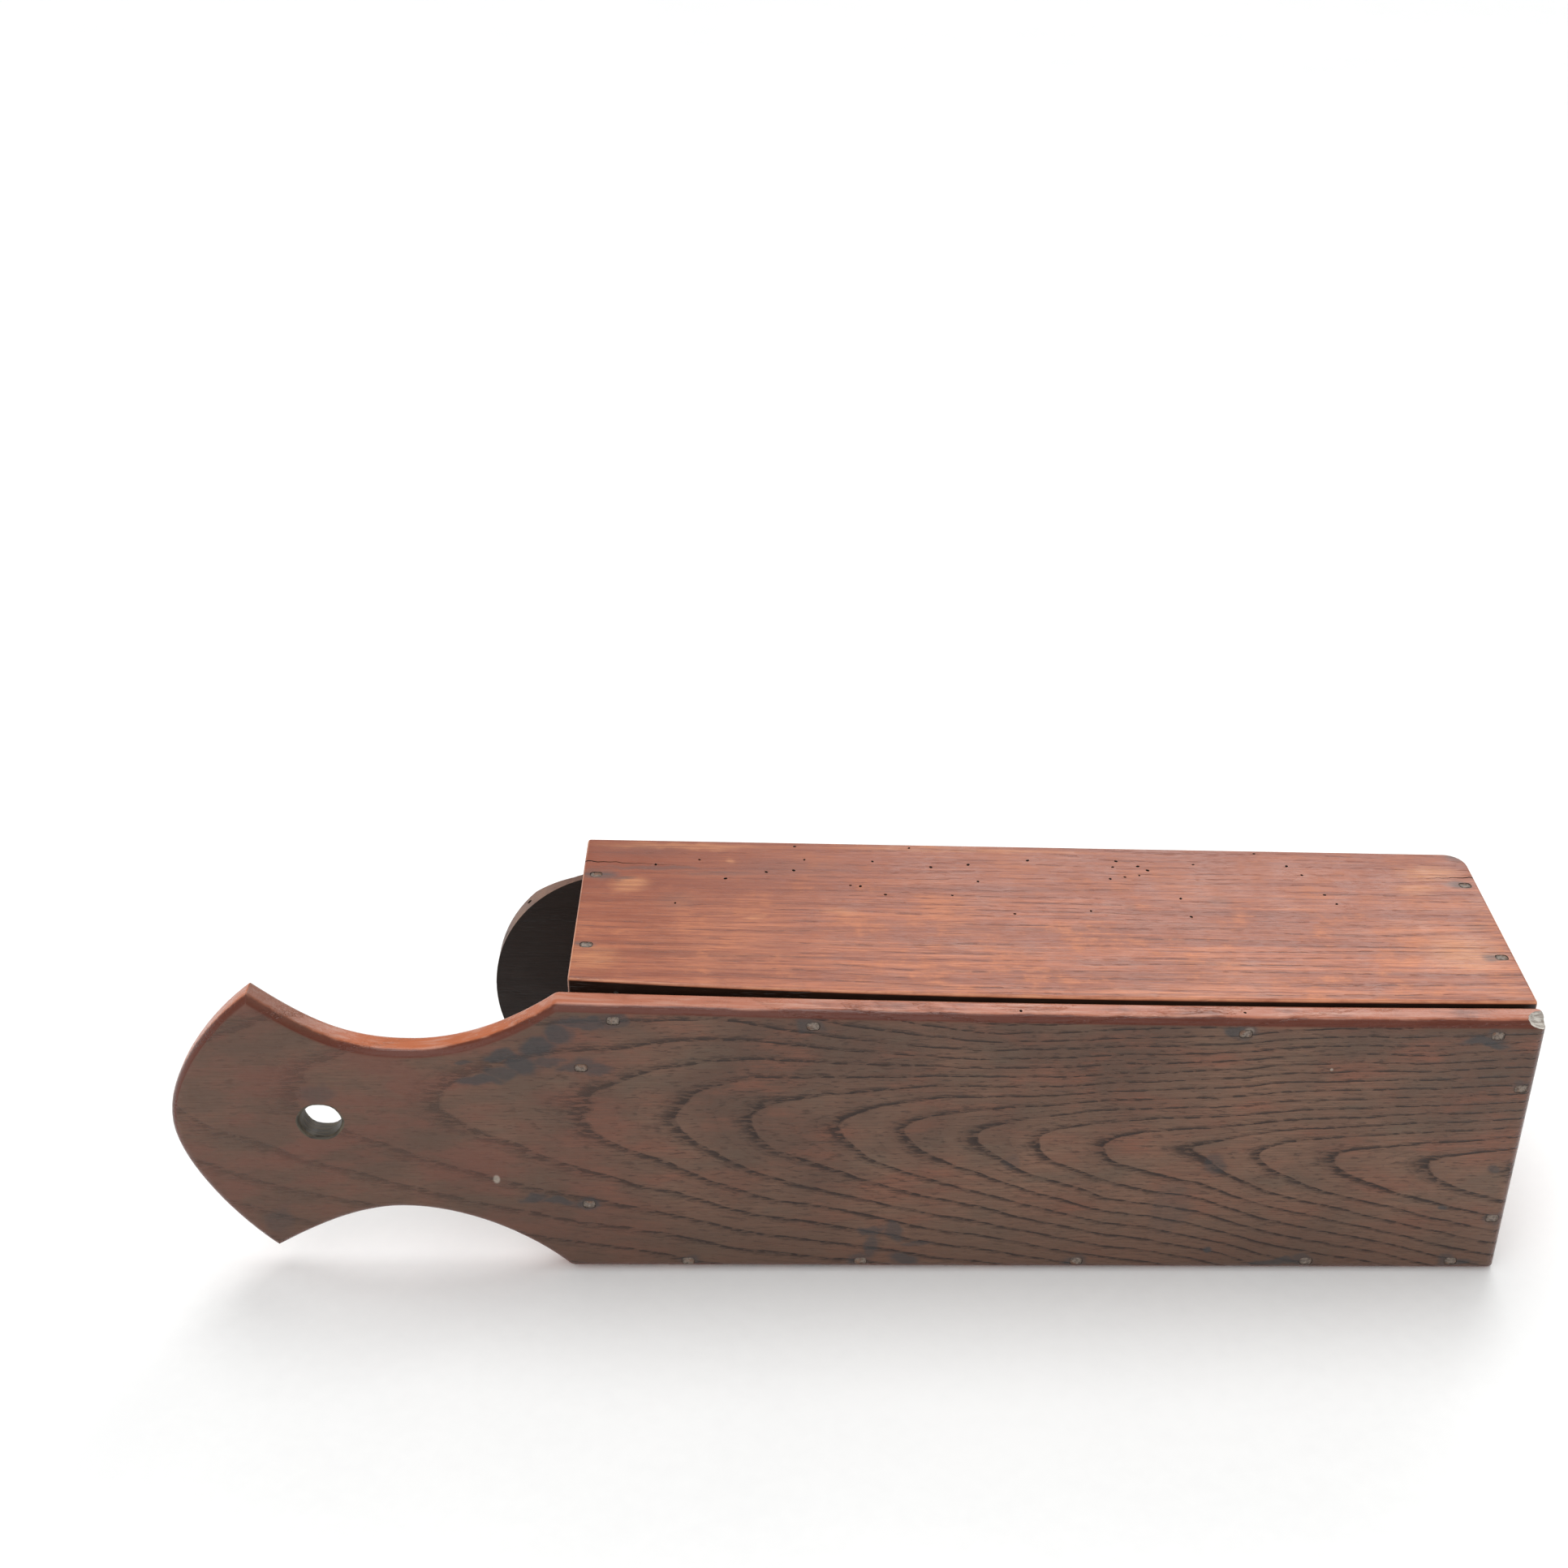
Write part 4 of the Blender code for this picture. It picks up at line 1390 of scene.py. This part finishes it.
@dataclass
class UpperSide(Board):
    """The long side that is uppermost, sprung from the back board towards the handle."""

    node: str = "upper_side"
    slot: Slot = Slot.UPPER_SIDE
    arris: float = 0.0011
    open_at_handle: float = 0.0058
    open_at_foot: float = 0.0016
    worn_corner: float = 0.0075
    stations: int = 24

    def back_y(self, x: float) -> float:
        """Back edge of the board at x, where the joint stands open."""
        sizes = self.sizes
        remaining = (sizes.foot_x - x) / (sizes.foot_x - sizes.side_start_x)
        opening = self.open_at_foot + (self.open_at_handle - self.open_at_foot) * remaining ** 4
        return sizes.wall_y + sizes.back_thickness + opening

    def build(self, wood: StraightWood, nail_holes: Piece, hole_wall: bpy.types.Material,
              burrows: Sequence[Point]) -> Piece:
        """Build the board.

        Args:
            wood: Its wood.
            nail_holes: The nails' cutter.
            hole_wall: Finish inside holes and cracks.
            burrows: X and Y of each wormhole in its upper face.

        Returns:
            The board.
        """
        sizes = self.sizes
        low = (sizes.side_start_x, 0.0, 0.0)
        high = (sizes.foot_x, 0.01, 0.01)
        board = Bench.add_block("upper_side_worn", low, high)
        run = sizes.foot_x - sizes.side_start_x
        places = [sizes.side_start_x + run * number / self.stations for number in range(1, self.stations)]

        def shape(_: int, place: Vector) -> Vector:
            """Place one corner of a section."""
            near = place.y < 0.005
            y = self.back_y(place.x) if near else sizes.front_y
            if place.z < 0.005:
                return Vector((place.x, y, sizes.inner_height(place.x)))
            height = sizes.top_height(place.x) if near else sizes.taper_height(place.x)
            return Vector((place.x, y, height))

        with Editing(board) as edit:
            edit.slice_across(0, places)
            edit.reshape(shape)
            edit.pick_edges(lambda a, b: min(a.x, b.x) > sizes.foot_x - 1e-5
                            and min(a.y, b.y) > sizes.front_y - 1e-5)
            edit.bevel(self.worn_corner, 7)
            edit.face_outwards()
        self.ease_arrises(board)
        board.data.materials.append(wood.build())
        groove_low = (sizes.side_start_x - 0.002, sizes.lid_inner_y - sizes.gap, 0.0)
        groove_high = (sizes.foot_x + 0.002, sizes.lid_inner_y + sizes.tongue_thickness + sizes.gap, 0.01)
        groove = Bench.add_block("upper_groove", groove_low, groove_high)
        with Editing(groove) as edit:
            edit.reshape(lambda _, place: Vector((place.x, place.y, sizes.inner_height(place.x)
                                                  + (sizes.groove_depth if place.z > 0.005 else -0.002))))
        groove.data.materials.append(hole_wall)
        Bench.cut(board, groove)
        Bench.cut(board, nail_holes, keep_cutter=True)
        holes = [(x, y, sizes.taper_height(x)) for x, y in burrows]
        Bench.cut(board, Wormholes("upper_side_burrows", holes).build(hole_wall))
        top = sizes.taper_height
        start_x, foot_x = sizes.side_start_x - 0.002, sizes.foot_x + 0.002
        for crack in (Crack("handle_crack", (start_x, 0.0368, top(start_x)),
                            (-0.0560, 0.0348, top(-0.0560)), 0.0009, 0.0045),
                      Crack("foot_crack", (0.2080, 0.0350, top(0.2080)),
                            (foot_x, 0.0362, top(foot_x)), 0.0010, 0.0045, widest_at_start=False)):
            Bench.cut(board, crack.build(hole_wall))
        Bench.finish(board)
        self.mount(board)
        return board


@dataclass
class LowerSide(Board):
    """The long side that the box lies on."""

    node: str = "lower_side"
    slot: Slot = Slot.LOWER_SIDE

    def build(self, wood: StraightWood, nail_holes: Piece, hole_wall: bpy.types.Material) -> Piece:
        """Build the board.

        Args:
            wood: Its wood.
            nail_holes: The nails' cutter.
            hole_wall: Finish inside the groove.

        Returns:
            The board.
        """
        sizes = self.sizes
        low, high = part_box(self.node)
        board = Bench.add_block("lower_side_worn", low, high)
        with Editing(board) as edit:
            edit.slice_across(0, [low.x + (high.x - low.x) * number / 8 for number in range(1, 8)])
        self.ease_arrises(board)
        board.data.materials.append(wood.build())
        groove = Bench.add_block("lower_groove",
                                 (low.x - 0.002, sizes.lid_inner_y - sizes.gap, sizes.side_thickness
                                  - sizes.groove_depth),
                                 (high.x + 0.002, sizes.lid_inner_y + sizes.tongue_thickness + sizes.gap,
                                  sizes.side_thickness + 0.002))
        groove.data.materials.append(hole_wall)
        Bench.cut(board, groove)
        Bench.cut(board, nail_holes, keep_cutter=True)
        Bench.finish(board)
        self.mount(board)
        return board


@dataclass
class EndBoard(Board):
    """An end board between the two sides."""

    has_groove: bool = False

    def build(self, wood: StraightWood, nail_holes: Piece, hole_wall: bpy.types.Material) -> Piece:
        """Build the board.

        Args:
            wood: Its wood.
            nail_holes: The nails' cutter.
            hole_wall: Finish inside the groove.

        Returns:
            The board.
        """
        sizes = self.sizes
        low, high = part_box(self.node)
        board = Bench.add_block(f"{self.node}_worn", low, high)

        def taper(_: int, place: Vector) -> Vector:
            """Bring the upper edge under the upper side."""
            if place.z < (low.z + high.z) / 2:
                return place.copy()
            return Vector((place.x, place.y, sizes.inner_height(place.x) - sizes.gap))

        with Editing(board) as edit:
            edit.reshape(taper)
            edit.slice_across(2, [low.z + (high.z - low.z) * number / 5 for number in range(1, 5)])
        self.ease_arrises(board)
        board.data.materials.append(wood.build())
        if self.has_groove:
            groove = Bench.add_block("foot_groove", (low.x - 0.002, sizes.lid_inner_y - sizes.gap, 0.0),
                                     (low.x + sizes.groove_depth,
                                      sizes.lid_inner_y + sizes.tongue_thickness + sizes.gap,
                                      sizes.height_at_shoulder))
            groove.data.materials.append(hole_wall)
            Bench.cut(board, groove)
        Bench.cut(board, nail_holes, keep_cutter=True)
        Bench.finish(board)
        self.mount(board)
        return board


@dataclass
class SlidingLid(Board):
    """The lid: tongues in three grooves, a bevel above them and a half-round thumb end."""

    node: str = "sliding_lid"
    slot: Slot = Slot.LID
    body: Body = Body.LID
    thickness: float = 0.0082
    thumb_end: float = 0.0482
    round_start: float = -0.0819
    tongue_width: float = 0.0036
    bevel_width: float = 0.0100
    rim: float = 0.0012

    def upper_z(self, x: float) -> float:
        """Upper edge of the lid at x, in the upper side's groove."""
        sizes = self.sizes
        return sizes.inner_height(x) + sizes.groove_depth - sizes.gap

    def outline(self, low_z: float, foot_x: float) -> list[Point]:
        """Draw the lid's outline.

        Args:
            low_z: Its lower edge.
            foot_x: Its foot edge.

        Returns:
            X and Z of its points, in order.
        """
        top = self.upper_z(self.round_start)
        middle, half = (top + low_z) / 2, (top - low_z) / 2
        points = [(foot_x, low_z), (foot_x, self.upper_z(foot_x))]
        for step in range(49):
            angle = math.pi * step / 48
            points.append((self.round_start - self.thumb_end * math.sin(angle),
                           middle + half * math.cos(angle)))
        return points

    def waste(self, name: str, corner_places: Sequence[tuple[Point, Point]]) -> Piece:
        """Model the wedge that a bevel takes off.

        Args:
            name: Name of the cutter.
            corner_places: For each end of the wedge, the edge's X and Z and the way inwards.

        Returns:
            The cutter.
        """
        tongue_y = self.sizes.lid_inner_y + self.sizes.tongue_thickness
        outer_y = self.sizes.lid_inner_y + self.thickness
        slope = self.bevel_width * (outer_y + 0.002 - tongue_y) / (outer_y - tongue_y)
        section = ((-0.002, tongue_y), (self.tongue_width, tongue_y),
                   (self.tongue_width + slope, outer_y + 0.002), (-0.002, outer_y + 0.002))
        wedge = Bench.add_block(name, (0.0, 0.0, 0.0), (1.0, 1.0, 1.0))

        def shape(_: int, corner: Vector) -> Vector:
            """Place one corner of the wedge."""
            edge, inwards = corner_places[round(corner.x)]
            run, y = section[(0, 3, 1, 2)[round(corner.y) + 2 * round(corner.z)]]
            return Vector((edge[0] + inwards[0] * run, y, edge[1] + inwards[1] * run))

        with Editing(wedge) as edit:
            edit.reshape(shape)
            edit.face_outwards()
        return wedge

    def build(self, wood: StraightWood, hole_wall: bpy.types.Material) -> Piece:
        """Build the lid.

        Args:
            wood: Its wood.
            hole_wall: Finish inside wormholes.

        Returns:
            The lid.
        """
        low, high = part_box(self.node)
        material = wood.build()
        lid = Bench.add_plank("sliding_lid_worn", self.outline(low.z, high.x), low.y, self.thickness)
        lid.data.materials.append(material)
        nose_x, past_x = low.x - 0.002, high.x + 0.002
        up, down, back = (0.0, 1.0), (0.0, -1.0), (-1.0, 0.0)
        edges = (("lower_waste", up, (nose_x, low.z), (past_x, low.z)),
                 ("upper_waste", down, (nose_x, self.upper_z(nose_x)), (past_x, self.upper_z(past_x))),
                 ("foot_waste", back, (high.x, low.z - 0.002), (high.x, self.upper_z(high.x) + 0.002)))
        wedges = [(name, ((start, inwards), (end, inwards))) for name, inwards, start, end in edges]
        for name, places in wedges:
            cutter = self.waste(name, places)
            cutter.data.materials.append(material)
            Bench.cut(lid, cutter)
        with Editing(lid) as edit:
            edit.pick_edges(lambda a, b: max(a.x, b.x) < self.round_start + 0.0005
                            and abs(a.y - b.y) < 1e-6
                            and (abs(a.y - low.y) < 1e-6 or abs(a.y - high.y) < 1e-6)
                            and (a - b).length < 0.012)
            edit.bevel(self.rim, 4)
            edit.face_outwards()
        middle_y = low.y + self.thickness / 2
        edge = self.outline(low.z, high.x)
        places = [(edge[number][0], middle_y + shift, edge[number][1])
                  for number, shift in ((14, 0.0006), (19, -0.0008))]
        Bench.cut(lid, Wormholes("lid_burrows", places, radius=0.0008, spread=0.5).build(hole_wall))
        Bench.finish(lid)
        self.mount(lid)
        return lid


@dataclass
class CutNails:
    """All the cut nails, modelled once and copied to each CAD nail's place."""

    head: Point = (0.0044, 0.0032)
    head_thickness: float = 0.0009
    shank: Point = (0.0024, 0.0020)
    point: Point = (0.0012, 0.0010)
    length: float = 0.0260
    clearance: float = 0.00004
    head_corner: float = 0.0012
    proud: float = 0.00025

    def names(self) -> list[str]:
        """The names of the CAD nails, in order."""
        return sorted(name for name in frame["nodes"] if name.startswith("nail_"))

    def placing(self, name: str) -> tuple[Vector, Driven]:
        """Find where a nail's head is and which way it points.

        Args:
            name: The CAD node.

        Returns:
            The middle of its head, and its direction.
        """
        low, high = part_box(name)
        middle = (low + high) / 2
        if name.startswith("nail_back"):
            return Vector((middle.x, low.y, middle.z)), Driven.TO_LID
        if name.startswith("nail_upper"):
            return Vector((middle.x, middle.y, high.z)), Driven.DOWN
        return Vector((middle.x, middle.y, low.z)), Driven.UP

    def shape(self, name: str, grow: float, proud: float) -> Piece:
        """Model a nail that points down, with its head at the origin.

        Args:
            name: Name for the object.
            grow: How much wider it is all round.
            proud: How far its head stands above the origin.

        Returns:
            The nail.
        """
        half_x, half_y = self.head[0] / 2 + grow, self.head[1] / 2 + grow
        bottom = -self.head_thickness - grow
        nail = Bench.add_block(name, (-half_x, -half_y, bottom), (half_x, half_y, proud))
        neck = (self.shank[0] / 2 + grow) / half_x
        neck_y = (self.shank[1] / 2 + grow) / half_y
        with Editing(nail) as edit:
            edit.pick_edges(lambda a, b: abs(a.z - b.z) > 0.0005)
            edit.bevel(self.head_corner, 3)
            edit.pick_faces(lambda middle, normal: normal.z < -0.9)
            edit.extrude((0.0, 0.0, -0.0006))
            edit.scale((neck, neck_y, 1.0), (0.0, 0.0, 0.0))
            edit.extrude((0.0, 0.0, -(self.length + bottom - 0.0006)))
            edit.scale((self.point[0] / self.shank[0], self.point[1] / self.shank[1], 1.0), (0.0, 0.0, 0.0))
            edit.face_outwards()
        return nail

    def cutter(self, material: bpy.types.Material) -> Piece:
        """Model the holes of all the nails as one cutter.

        Args:
            material: Finish of the holes' walls.

        Returns:
            The cutter.
        """
        hole = self.shape("nail_hole", self.clearance, 0.003)
        hole.data.materials.append(material)
        copies = []
        for name in self.names():
            place, driven = self.placing(name)
            copies.append(Bench.copy(hole, f"hole_{name}", place, (driven.value, 0.0, 0.0)))
        Bench.remove(hole)
        return Bench.join("nail_holes", copies)

    def build(self, iron: bpy.types.Material, shank_iron: bpy.types.Material) -> list[Piece]:
        """Build the nails.

        Args:
            iron: Finish of their heads.
            shank_iron: Finish of their shanks.

        Returns:
            The nails.
        """
        model = self.shape("cut_nail", 0.0, self.proud)
        with Editing(model) as edit:
            edit.pick_edges(lambda a, b: min(a.z, b.z) > self.proud - 1e-6)
            edit.bevel(0.00025, 2)
            edit.pick_faces(lambda middle, normal: normal.z > 0.9)
            bpy.ops.mesh.inset(thickness=0.0005, depth=0.00012)
            bpy.ops.mesh.poke()
            bpy.ops.mesh.subdivide(number_cuts=2)
            edit.face_outwards()
        model.data.materials.append(iron)
        model.data.materials.append(shank_iron)
        with Editing(model) as edit:
            edit.pick_faces(lambda middle, normal: middle.z < -self.head_thickness - 0.0002)
            model.active_material_index = 1
            bpy.ops.object.material_slot_assign()
        nails = []
        for number, name in enumerate(self.names()):
            place, driven = self.placing(name)
            nail = Bench.copy(model, f"{name}_rusted", (0.0, 0.0, 0.0))
            with Editing(nail) as edit:
                edit.pick_vertices(lambda spot: spot.z > -0.0005)
                edit.roughen(0.00009, number + 1)
            nail = Bench.copy(nail, f"{name}_iron", place, (driven.value, 0.0, 0.0))
            Bench.remove(bpy.data.objects[f"{name}_rusted"])
            Bench.finish(nail, 50.0)
            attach(nail, Body.CASE.value)
            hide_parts(name)
            nails.append(nail)
        Bench.remove(model)
        log.info("cut nails: %d", len(nails))
        return nails


# ---- marks of age ------------------------------------------------------------------------------
@dataclass
class Ageing:
    """Where the boards are stained, patched and eaten, in millimetres along and across each board."""

    sizes: CaseSizes
    wall_stains: tuple[tuple[float, float, float, float, float], ...] = (
        (-88, 110, 9, 2.6, 0.70), (-96, 105, 6, 5, 0.75), (-102, 99, 7, 5, 0.80), (-108, 92, 6, 5, 0.80),
        (-115, 96, 8, 2.4, 0.75), (-124, 86, 9, 2.6, 0.75), (-116, 89, 7, 3, 0.70),
        (-129, 94, 4, 1.6, 0.6), (-88, 90, 10, 2.4, 0.65), (-99, 93, 6, 2.0, 0.6),
        (-108, 34, 6, 2.2, 0.7), (-99, 32, 7, 2, 0.7), (-89, 31, 5.5, 2.6, 0.75), (8, 20, 7, 2, 0.6),
        (17, 19, 4, 4.5, 0.6), (9, 12, 3, 8, 0.6), (20, 6, 6, 3.4, 0.7), (24, 14, 6, 1.6, 0.5),
        (127, 105, 4, 2.4, 0.75), (209, 101, 9, 2.2, 0.75), (206, 29, 2.4, 1.8, 0.75),
        (126, 9.6, 2, 1.7, 0.8), (151, 4.5, 12, 2.0, 0.7), (217, 5, 6, 2.2, 0.6), (125, 49, 4, 5, 0.45),
        (221, 48, 3, 2.4, 0.5), (-179, 80, 7, 5, 0.35), (-197, 24, 6, 8, 0.35), (55, 50, 3, 4, 0.3),
        (112, 30, 9, 12, 0.22))
    putty_spots: tuple[tuple[float, float, float, float, float], ...] = (
        (-120.6, 42.6, 1.3, 2.0, 0.85), (160, 90, 0.6, 0.6, 0.8), (131, 106, 1.8, 1.4, 0.35))
    side_stains: tuple[tuple[float, float, float, float, float], ...] = (
        (-88.5, 28, 8.5, 4.6, 0.80), (-80, 26, 6, 1.8, 0.55), (-90, -16, 4.5, 2.6, 0.75),
        (-70, 33, 26, 1.6, 0.45), (-45, 30, 20, 2.0, 0.35), (222, 31, 6, 3.2, 0.80),
        (221, -14.4, 5, 2.8, 0.75), (133, 19, 6, 4.0, 0.25), (-60, 12, 9, 7, 0.25), (100, 14, 3, 2, 0.25),
        (226, 50, 5, 5, 0.7), (220, 4, 7, 3, 0.3), (-20, 34, 30, 7, 0.18), (-75, 44, 22, 5, 0.20))
    side_tans: tuple[tuple[float, float, float, float, float], ...] = (
        (-77, 22, 9, 6, 0.65), (-86, -24, 11, 9, 0.50), (-41, 38.6, 2.2, 2.6, 0.5),
        (-32, 3, 4.0, 1.5, 0.45), (-2, 8, 9, 4, 0.3), (212, -12, 16, 13, 0.6), (213, 38, 14, 6, 0.6),
        (206, 28, 11, 5, 0.45), (-60, 48, 40, 3.0, 0.45), (40, 49, 60, 2.4, 0.35))
    burrows: tuple[Point, ...] = (
        (-68.3, 35.2), (-52.6, 39.0), (-42.9, 26.9), (-60.2, 10.6), (-28.3, 31.7), (-18.0, 49.1),
        (-14.5, 40.3), (-18.4, 33.1), (1.9, 24.1), (5.4, 23.7), (10.3, 40.0), (14.2, 18.7), (24.1, 49.4),
        (31.4, 36.9), (37.9, 18.9), (45.1, 39.0), (47.8, 28.2), (59.4, 8.2), (67.1, 42.5), (86.5, 10.6),
        (99.5, 43.0), (97.8, 39.1), (95.9, 31.4), (101.4, 32.7), (107.1, 39.9), (106.8, 33.9),
        (110.3, 37.3), (127.6, 41.7), (119.5, 19.4), (121.4, 8.1), (151.4, 49.7), (161.8, 41.7),
        (166.2, 35.9), (171.7, 23.2), (174.8, 17.5))

    def wall_marks(self, rows: Sequence[tuple[float, ...]]) -> tuple[Mark, ...]:
        """Turn rows of X, Z, half length, half height and strength into marks on the wall face."""
        return tuple(Mark((x * MM, self.sizes.wall_y, z * MM), (long * MM, 0.02, high * MM), strength)
                     for x, z, long, high, strength in rows)

    def top_marks(self, rows: Sequence[tuple[float, ...]]) -> tuple[Mark, ...]:
        """Turn rows of X, Y, half length, half width and strength into marks on the upper side."""
        return tuple(Mark((x * MM, y * MM, self.sizes.taper_height(x * MM)),
                          (long * MM, wide * MM, 0.008), strength)
                     for x, y, long, wide, strength in rows)

    def nail_marks(self, nails: CutNails, driven: Driven) -> tuple[Mark, ...]:
        """Darken the wood round each nail that points one way."""
        marks = []
        for name in nails.names():
            place, direction = nails.placing(name)
            if direction is driven:
                marks.append(Mark(tuple(place), (0.0046, 0.004, 0.0036), 0.55))
        return tuple(marks)

    def burrow_places(self) -> list[Point]:
        """X and Y of the wormholes in the upper side, in metres."""
        return [(x * MM, y * MM) for x, y in self.burrows]


# ---- stage -------------------------------------------------------------------------------------
@dataclass
class Studio:
    """The pale floor, the soft lights, the white surroundings and the camera."""

    camera_place: Place = (-0.0219, -0.6086, 0.5265)
    camera_pitch: float = 59.6
    lens: float = 48.45
    floor_reach: float = 9.0
    world_strength: float = 0.57
    sky_strength: float = 1.20
    fill_strength: float = 0.92
    sheen_power: float = 6.0
    lights: list[Piece] = field(default_factory=list)

    def add_floor(self) -> Piece:
        """Lay the floor: a wide disc with a gently raised rim.

        Returns:
            The floor.
        """
        Bench.clear_selection()
        bpy.ops.mesh.primitive_circle_add(vertices=96, radius=self.floor_reach, fill_type="NGON",
                                          location=(0.0, 0.0, 0.0))
        floor = Bench.adopt_new("studio_floor")
        with Editing(floor) as edit:
            bpy.ops.mesh.select_all(action="SELECT")
            bpy.ops.mesh.inset(thickness=1.5)
            edit.pick_vertices(lambda place: math.hypot(place.x, place.y) > self.floor_reach - 0.1)
            bpy.ops.transform.translate(value=(0.0, 0.0, 0.05))
        floor.data.materials.append(StudioFloor().build())
        return floor

    def add_light(self, kind: str, name: str, place: Place, aim: Place, power: float) -> Piece:
        """Hang one soft light.

        Args:
            kind: Blender's kind of light.
            name: Its name.
            place: Where it hangs.
            aim: What it points at.
            power: Its power in watts, or a sun's strength.

        Returns:
            The light.
        """
        Bench.clear_selection()
        bpy.ops.object.light_add(type=kind, location=place)
        light = bpy.context.active_object
        light.name = name
        light.data.energy = power
        light.rotation_euler = (Vector(aim) - Vector(place)).to_track_quat("-Z", "Y").to_euler()
        self.lights.append(light)
        return light

    def add_world(self) -> None:
        """Surround the scene with even white light."""
        world = bpy.data.worlds.new("white_studio")
        bpy.context.scene.world = world
        world.use_nodes = True
        background = world.node_tree.nodes["Background"]
        background.inputs["Color"].default_value = (1.0, 1.0, 1.0, 1.0)
        background.inputs["Strength"].default_value = self.world_strength

    def add_camera(self) -> Piece:
        """Set up the camera, looking down on the box along +Y.

        Returns:
            The camera.
        """
        Bench.clear_selection()
        turn = (math.radians(self.camera_pitch), 0.0, 0.0)
        bpy.ops.object.camera_add(location=self.camera_place, rotation=turn)
        camera = bpy.context.active_object
        camera.name = "studio_camera"
        camera.data.sensor_width = 36.0
        camera.data.lens = self.lens
        camera.data.clip_start = 0.02
        camera.data.clip_end = 60.0
        bpy.context.scene.camera = camera
        return camera

    def build(self) -> None:
        """Build the whole stage."""
        self.add_floor()
        self.add_world()
        aim = (0.0, 0.0, 0.05)
        above = self.add_light("SUN", "broad_light_above", (-0.2, 0.45, 2.0), aim, self.sky_strength)
        above.data.angle = math.radians(36.0)
        front = self.add_light("SUN", "broad_light_in_front", (-0.5, -1.2, 1.3), aim, self.fill_strength)
        front.data.angle = math.radians(60.0)
        behind = self.add_light("AREA", "softbox_behind", (0.50, 1.20, 0.95), (0.10, 0.0, 0.11),
                                self.sheen_power)
        behind.data.shape = "RECTANGLE"
        behind.data.size, behind.data.size_y = 0.95, 0.55
        self.add_camera()
        view = bpy.context.scene.view_settings
        view.view_transform = "Standard"
        view.look = "None"
        log.info("studio: %d lights", len(self.lights))


def main() -> None:
    """Build the box piece by piece, then its stage."""
    logging.basicConfig(level=logging.INFO, format="%(name)s: %(message)s")
    sizes = CaseSizes.from_frame()
    ageing = Ageing(sizes)
    nails = CutNails()
    hole_wall = HoleWall().build()
    nail_holes = nails.cutter(RustedWood().build())

    back_stains = ageing.wall_marks(ageing.wall_stains) + ageing.nail_marks(nails, Driven.TO_LID)
    back_wood = ArchedWood(stains=back_stains, putty_marks=ageing.wall_marks(ageing.putty_spots))
    BackBoard(sizes).build(back_wood, nail_holes, hole_wall, BoredWall().build(), FreshChip().build())

    upper_wood = StraightWood("upper_side_red_wood", pale=(0.530, 0.186, 0.088), middle=(0.420, 0.124, 0.054),
                              dark=(0.225, 0.056, 0.026), streak=(0.135, 0.046, 0.030),
                              worn=(0.600, 0.260, 0.140), inner=(0.0, -1.0, -1.0), painted_shade_share=0.95,
                              painted_far_shade=0.58,
                              stains=ageing.top_marks(ageing.side_stains),
                              tan_marks=ageing.top_marks(ageing.side_tans))
    UpperSide(sizes).build(upper_wood, nail_holes, hole_wall, ageing.burrow_places())

    lower_wood = StraightWood("lower_side_red_wood", pale=(0.340, 0.120, 0.060), middle=(0.250, 0.080, 0.040),
                              dark=(0.160, 0.050, 0.028), streak=(0.090, 0.034, 0.022),
                              worn=(0.400, 0.170, 0.090), bright=(0.380, 0.135, 0.062),
                              inner=(0.0, 0.0, 1.0), offset=(0.31, 0.17, 0.05),
                              stains=ageing.nail_marks(nails, Driven.UP))
    LowerSide(sizes).build(lower_wood, nail_holes, hole_wall)

    for node, inner, offset, has_groove in (("handle_end", (1.0, 0.0, 0.0), (0.7, 0.2, 0.1), False),
                                            ("foot_end", (-1.0, 0.0, 0.0), (1.3, 0.4, 0.6), True)):
        wood = StraightWood(f"{node}_wood", pale=(0.300, 0.105, 0.055), middle=(0.220, 0.072, 0.038),
                            dark=(0.150, 0.048, 0.028), streak=(0.085, 0.034, 0.022),
                            worn=(0.380, 0.160, 0.085), bright=(0.340, 0.120, 0.060),
                            grain=Grain.ALONG_Z, inner=inner, offset=offset)
        EndBoard(sizes, node=node, has_groove=has_groove).build(wood, nail_holes, hole_wall)

    lid_wood = StraightWood("lid_brown_wood", pale=(0.160, 0.075, 0.050), middle=(0.110, 0.050, 0.034),
                            dark=(0.075, 0.034, 0.024), streak=(0.040, 0.020, 0.015),
                            worn=(0.230, 0.130, 0.090), bright=(0.190, 0.092, 0.062),
                            inner=(0.0, -1.0, 0.0), painted_shade_share=0.93,
                            offset=(0.5, 0.9, 0.3), roughness=(0.45, 0.62))
    SlidingLid(sizes).build(lid_wood, hole_wall)

    Bench.remove(nail_holes)
    shank_iron = NailIron("dark_nail_shank_iron", iron=(0.040, 0.030, 0.025), black=(0.020, 0.015, 0.012),
                          rust=(0.045, 0.024, 0.016))
    nails.build(NailIron().build(), shank_iron.build())
    Studio().build()


if __name__ == "__main__":
    main()
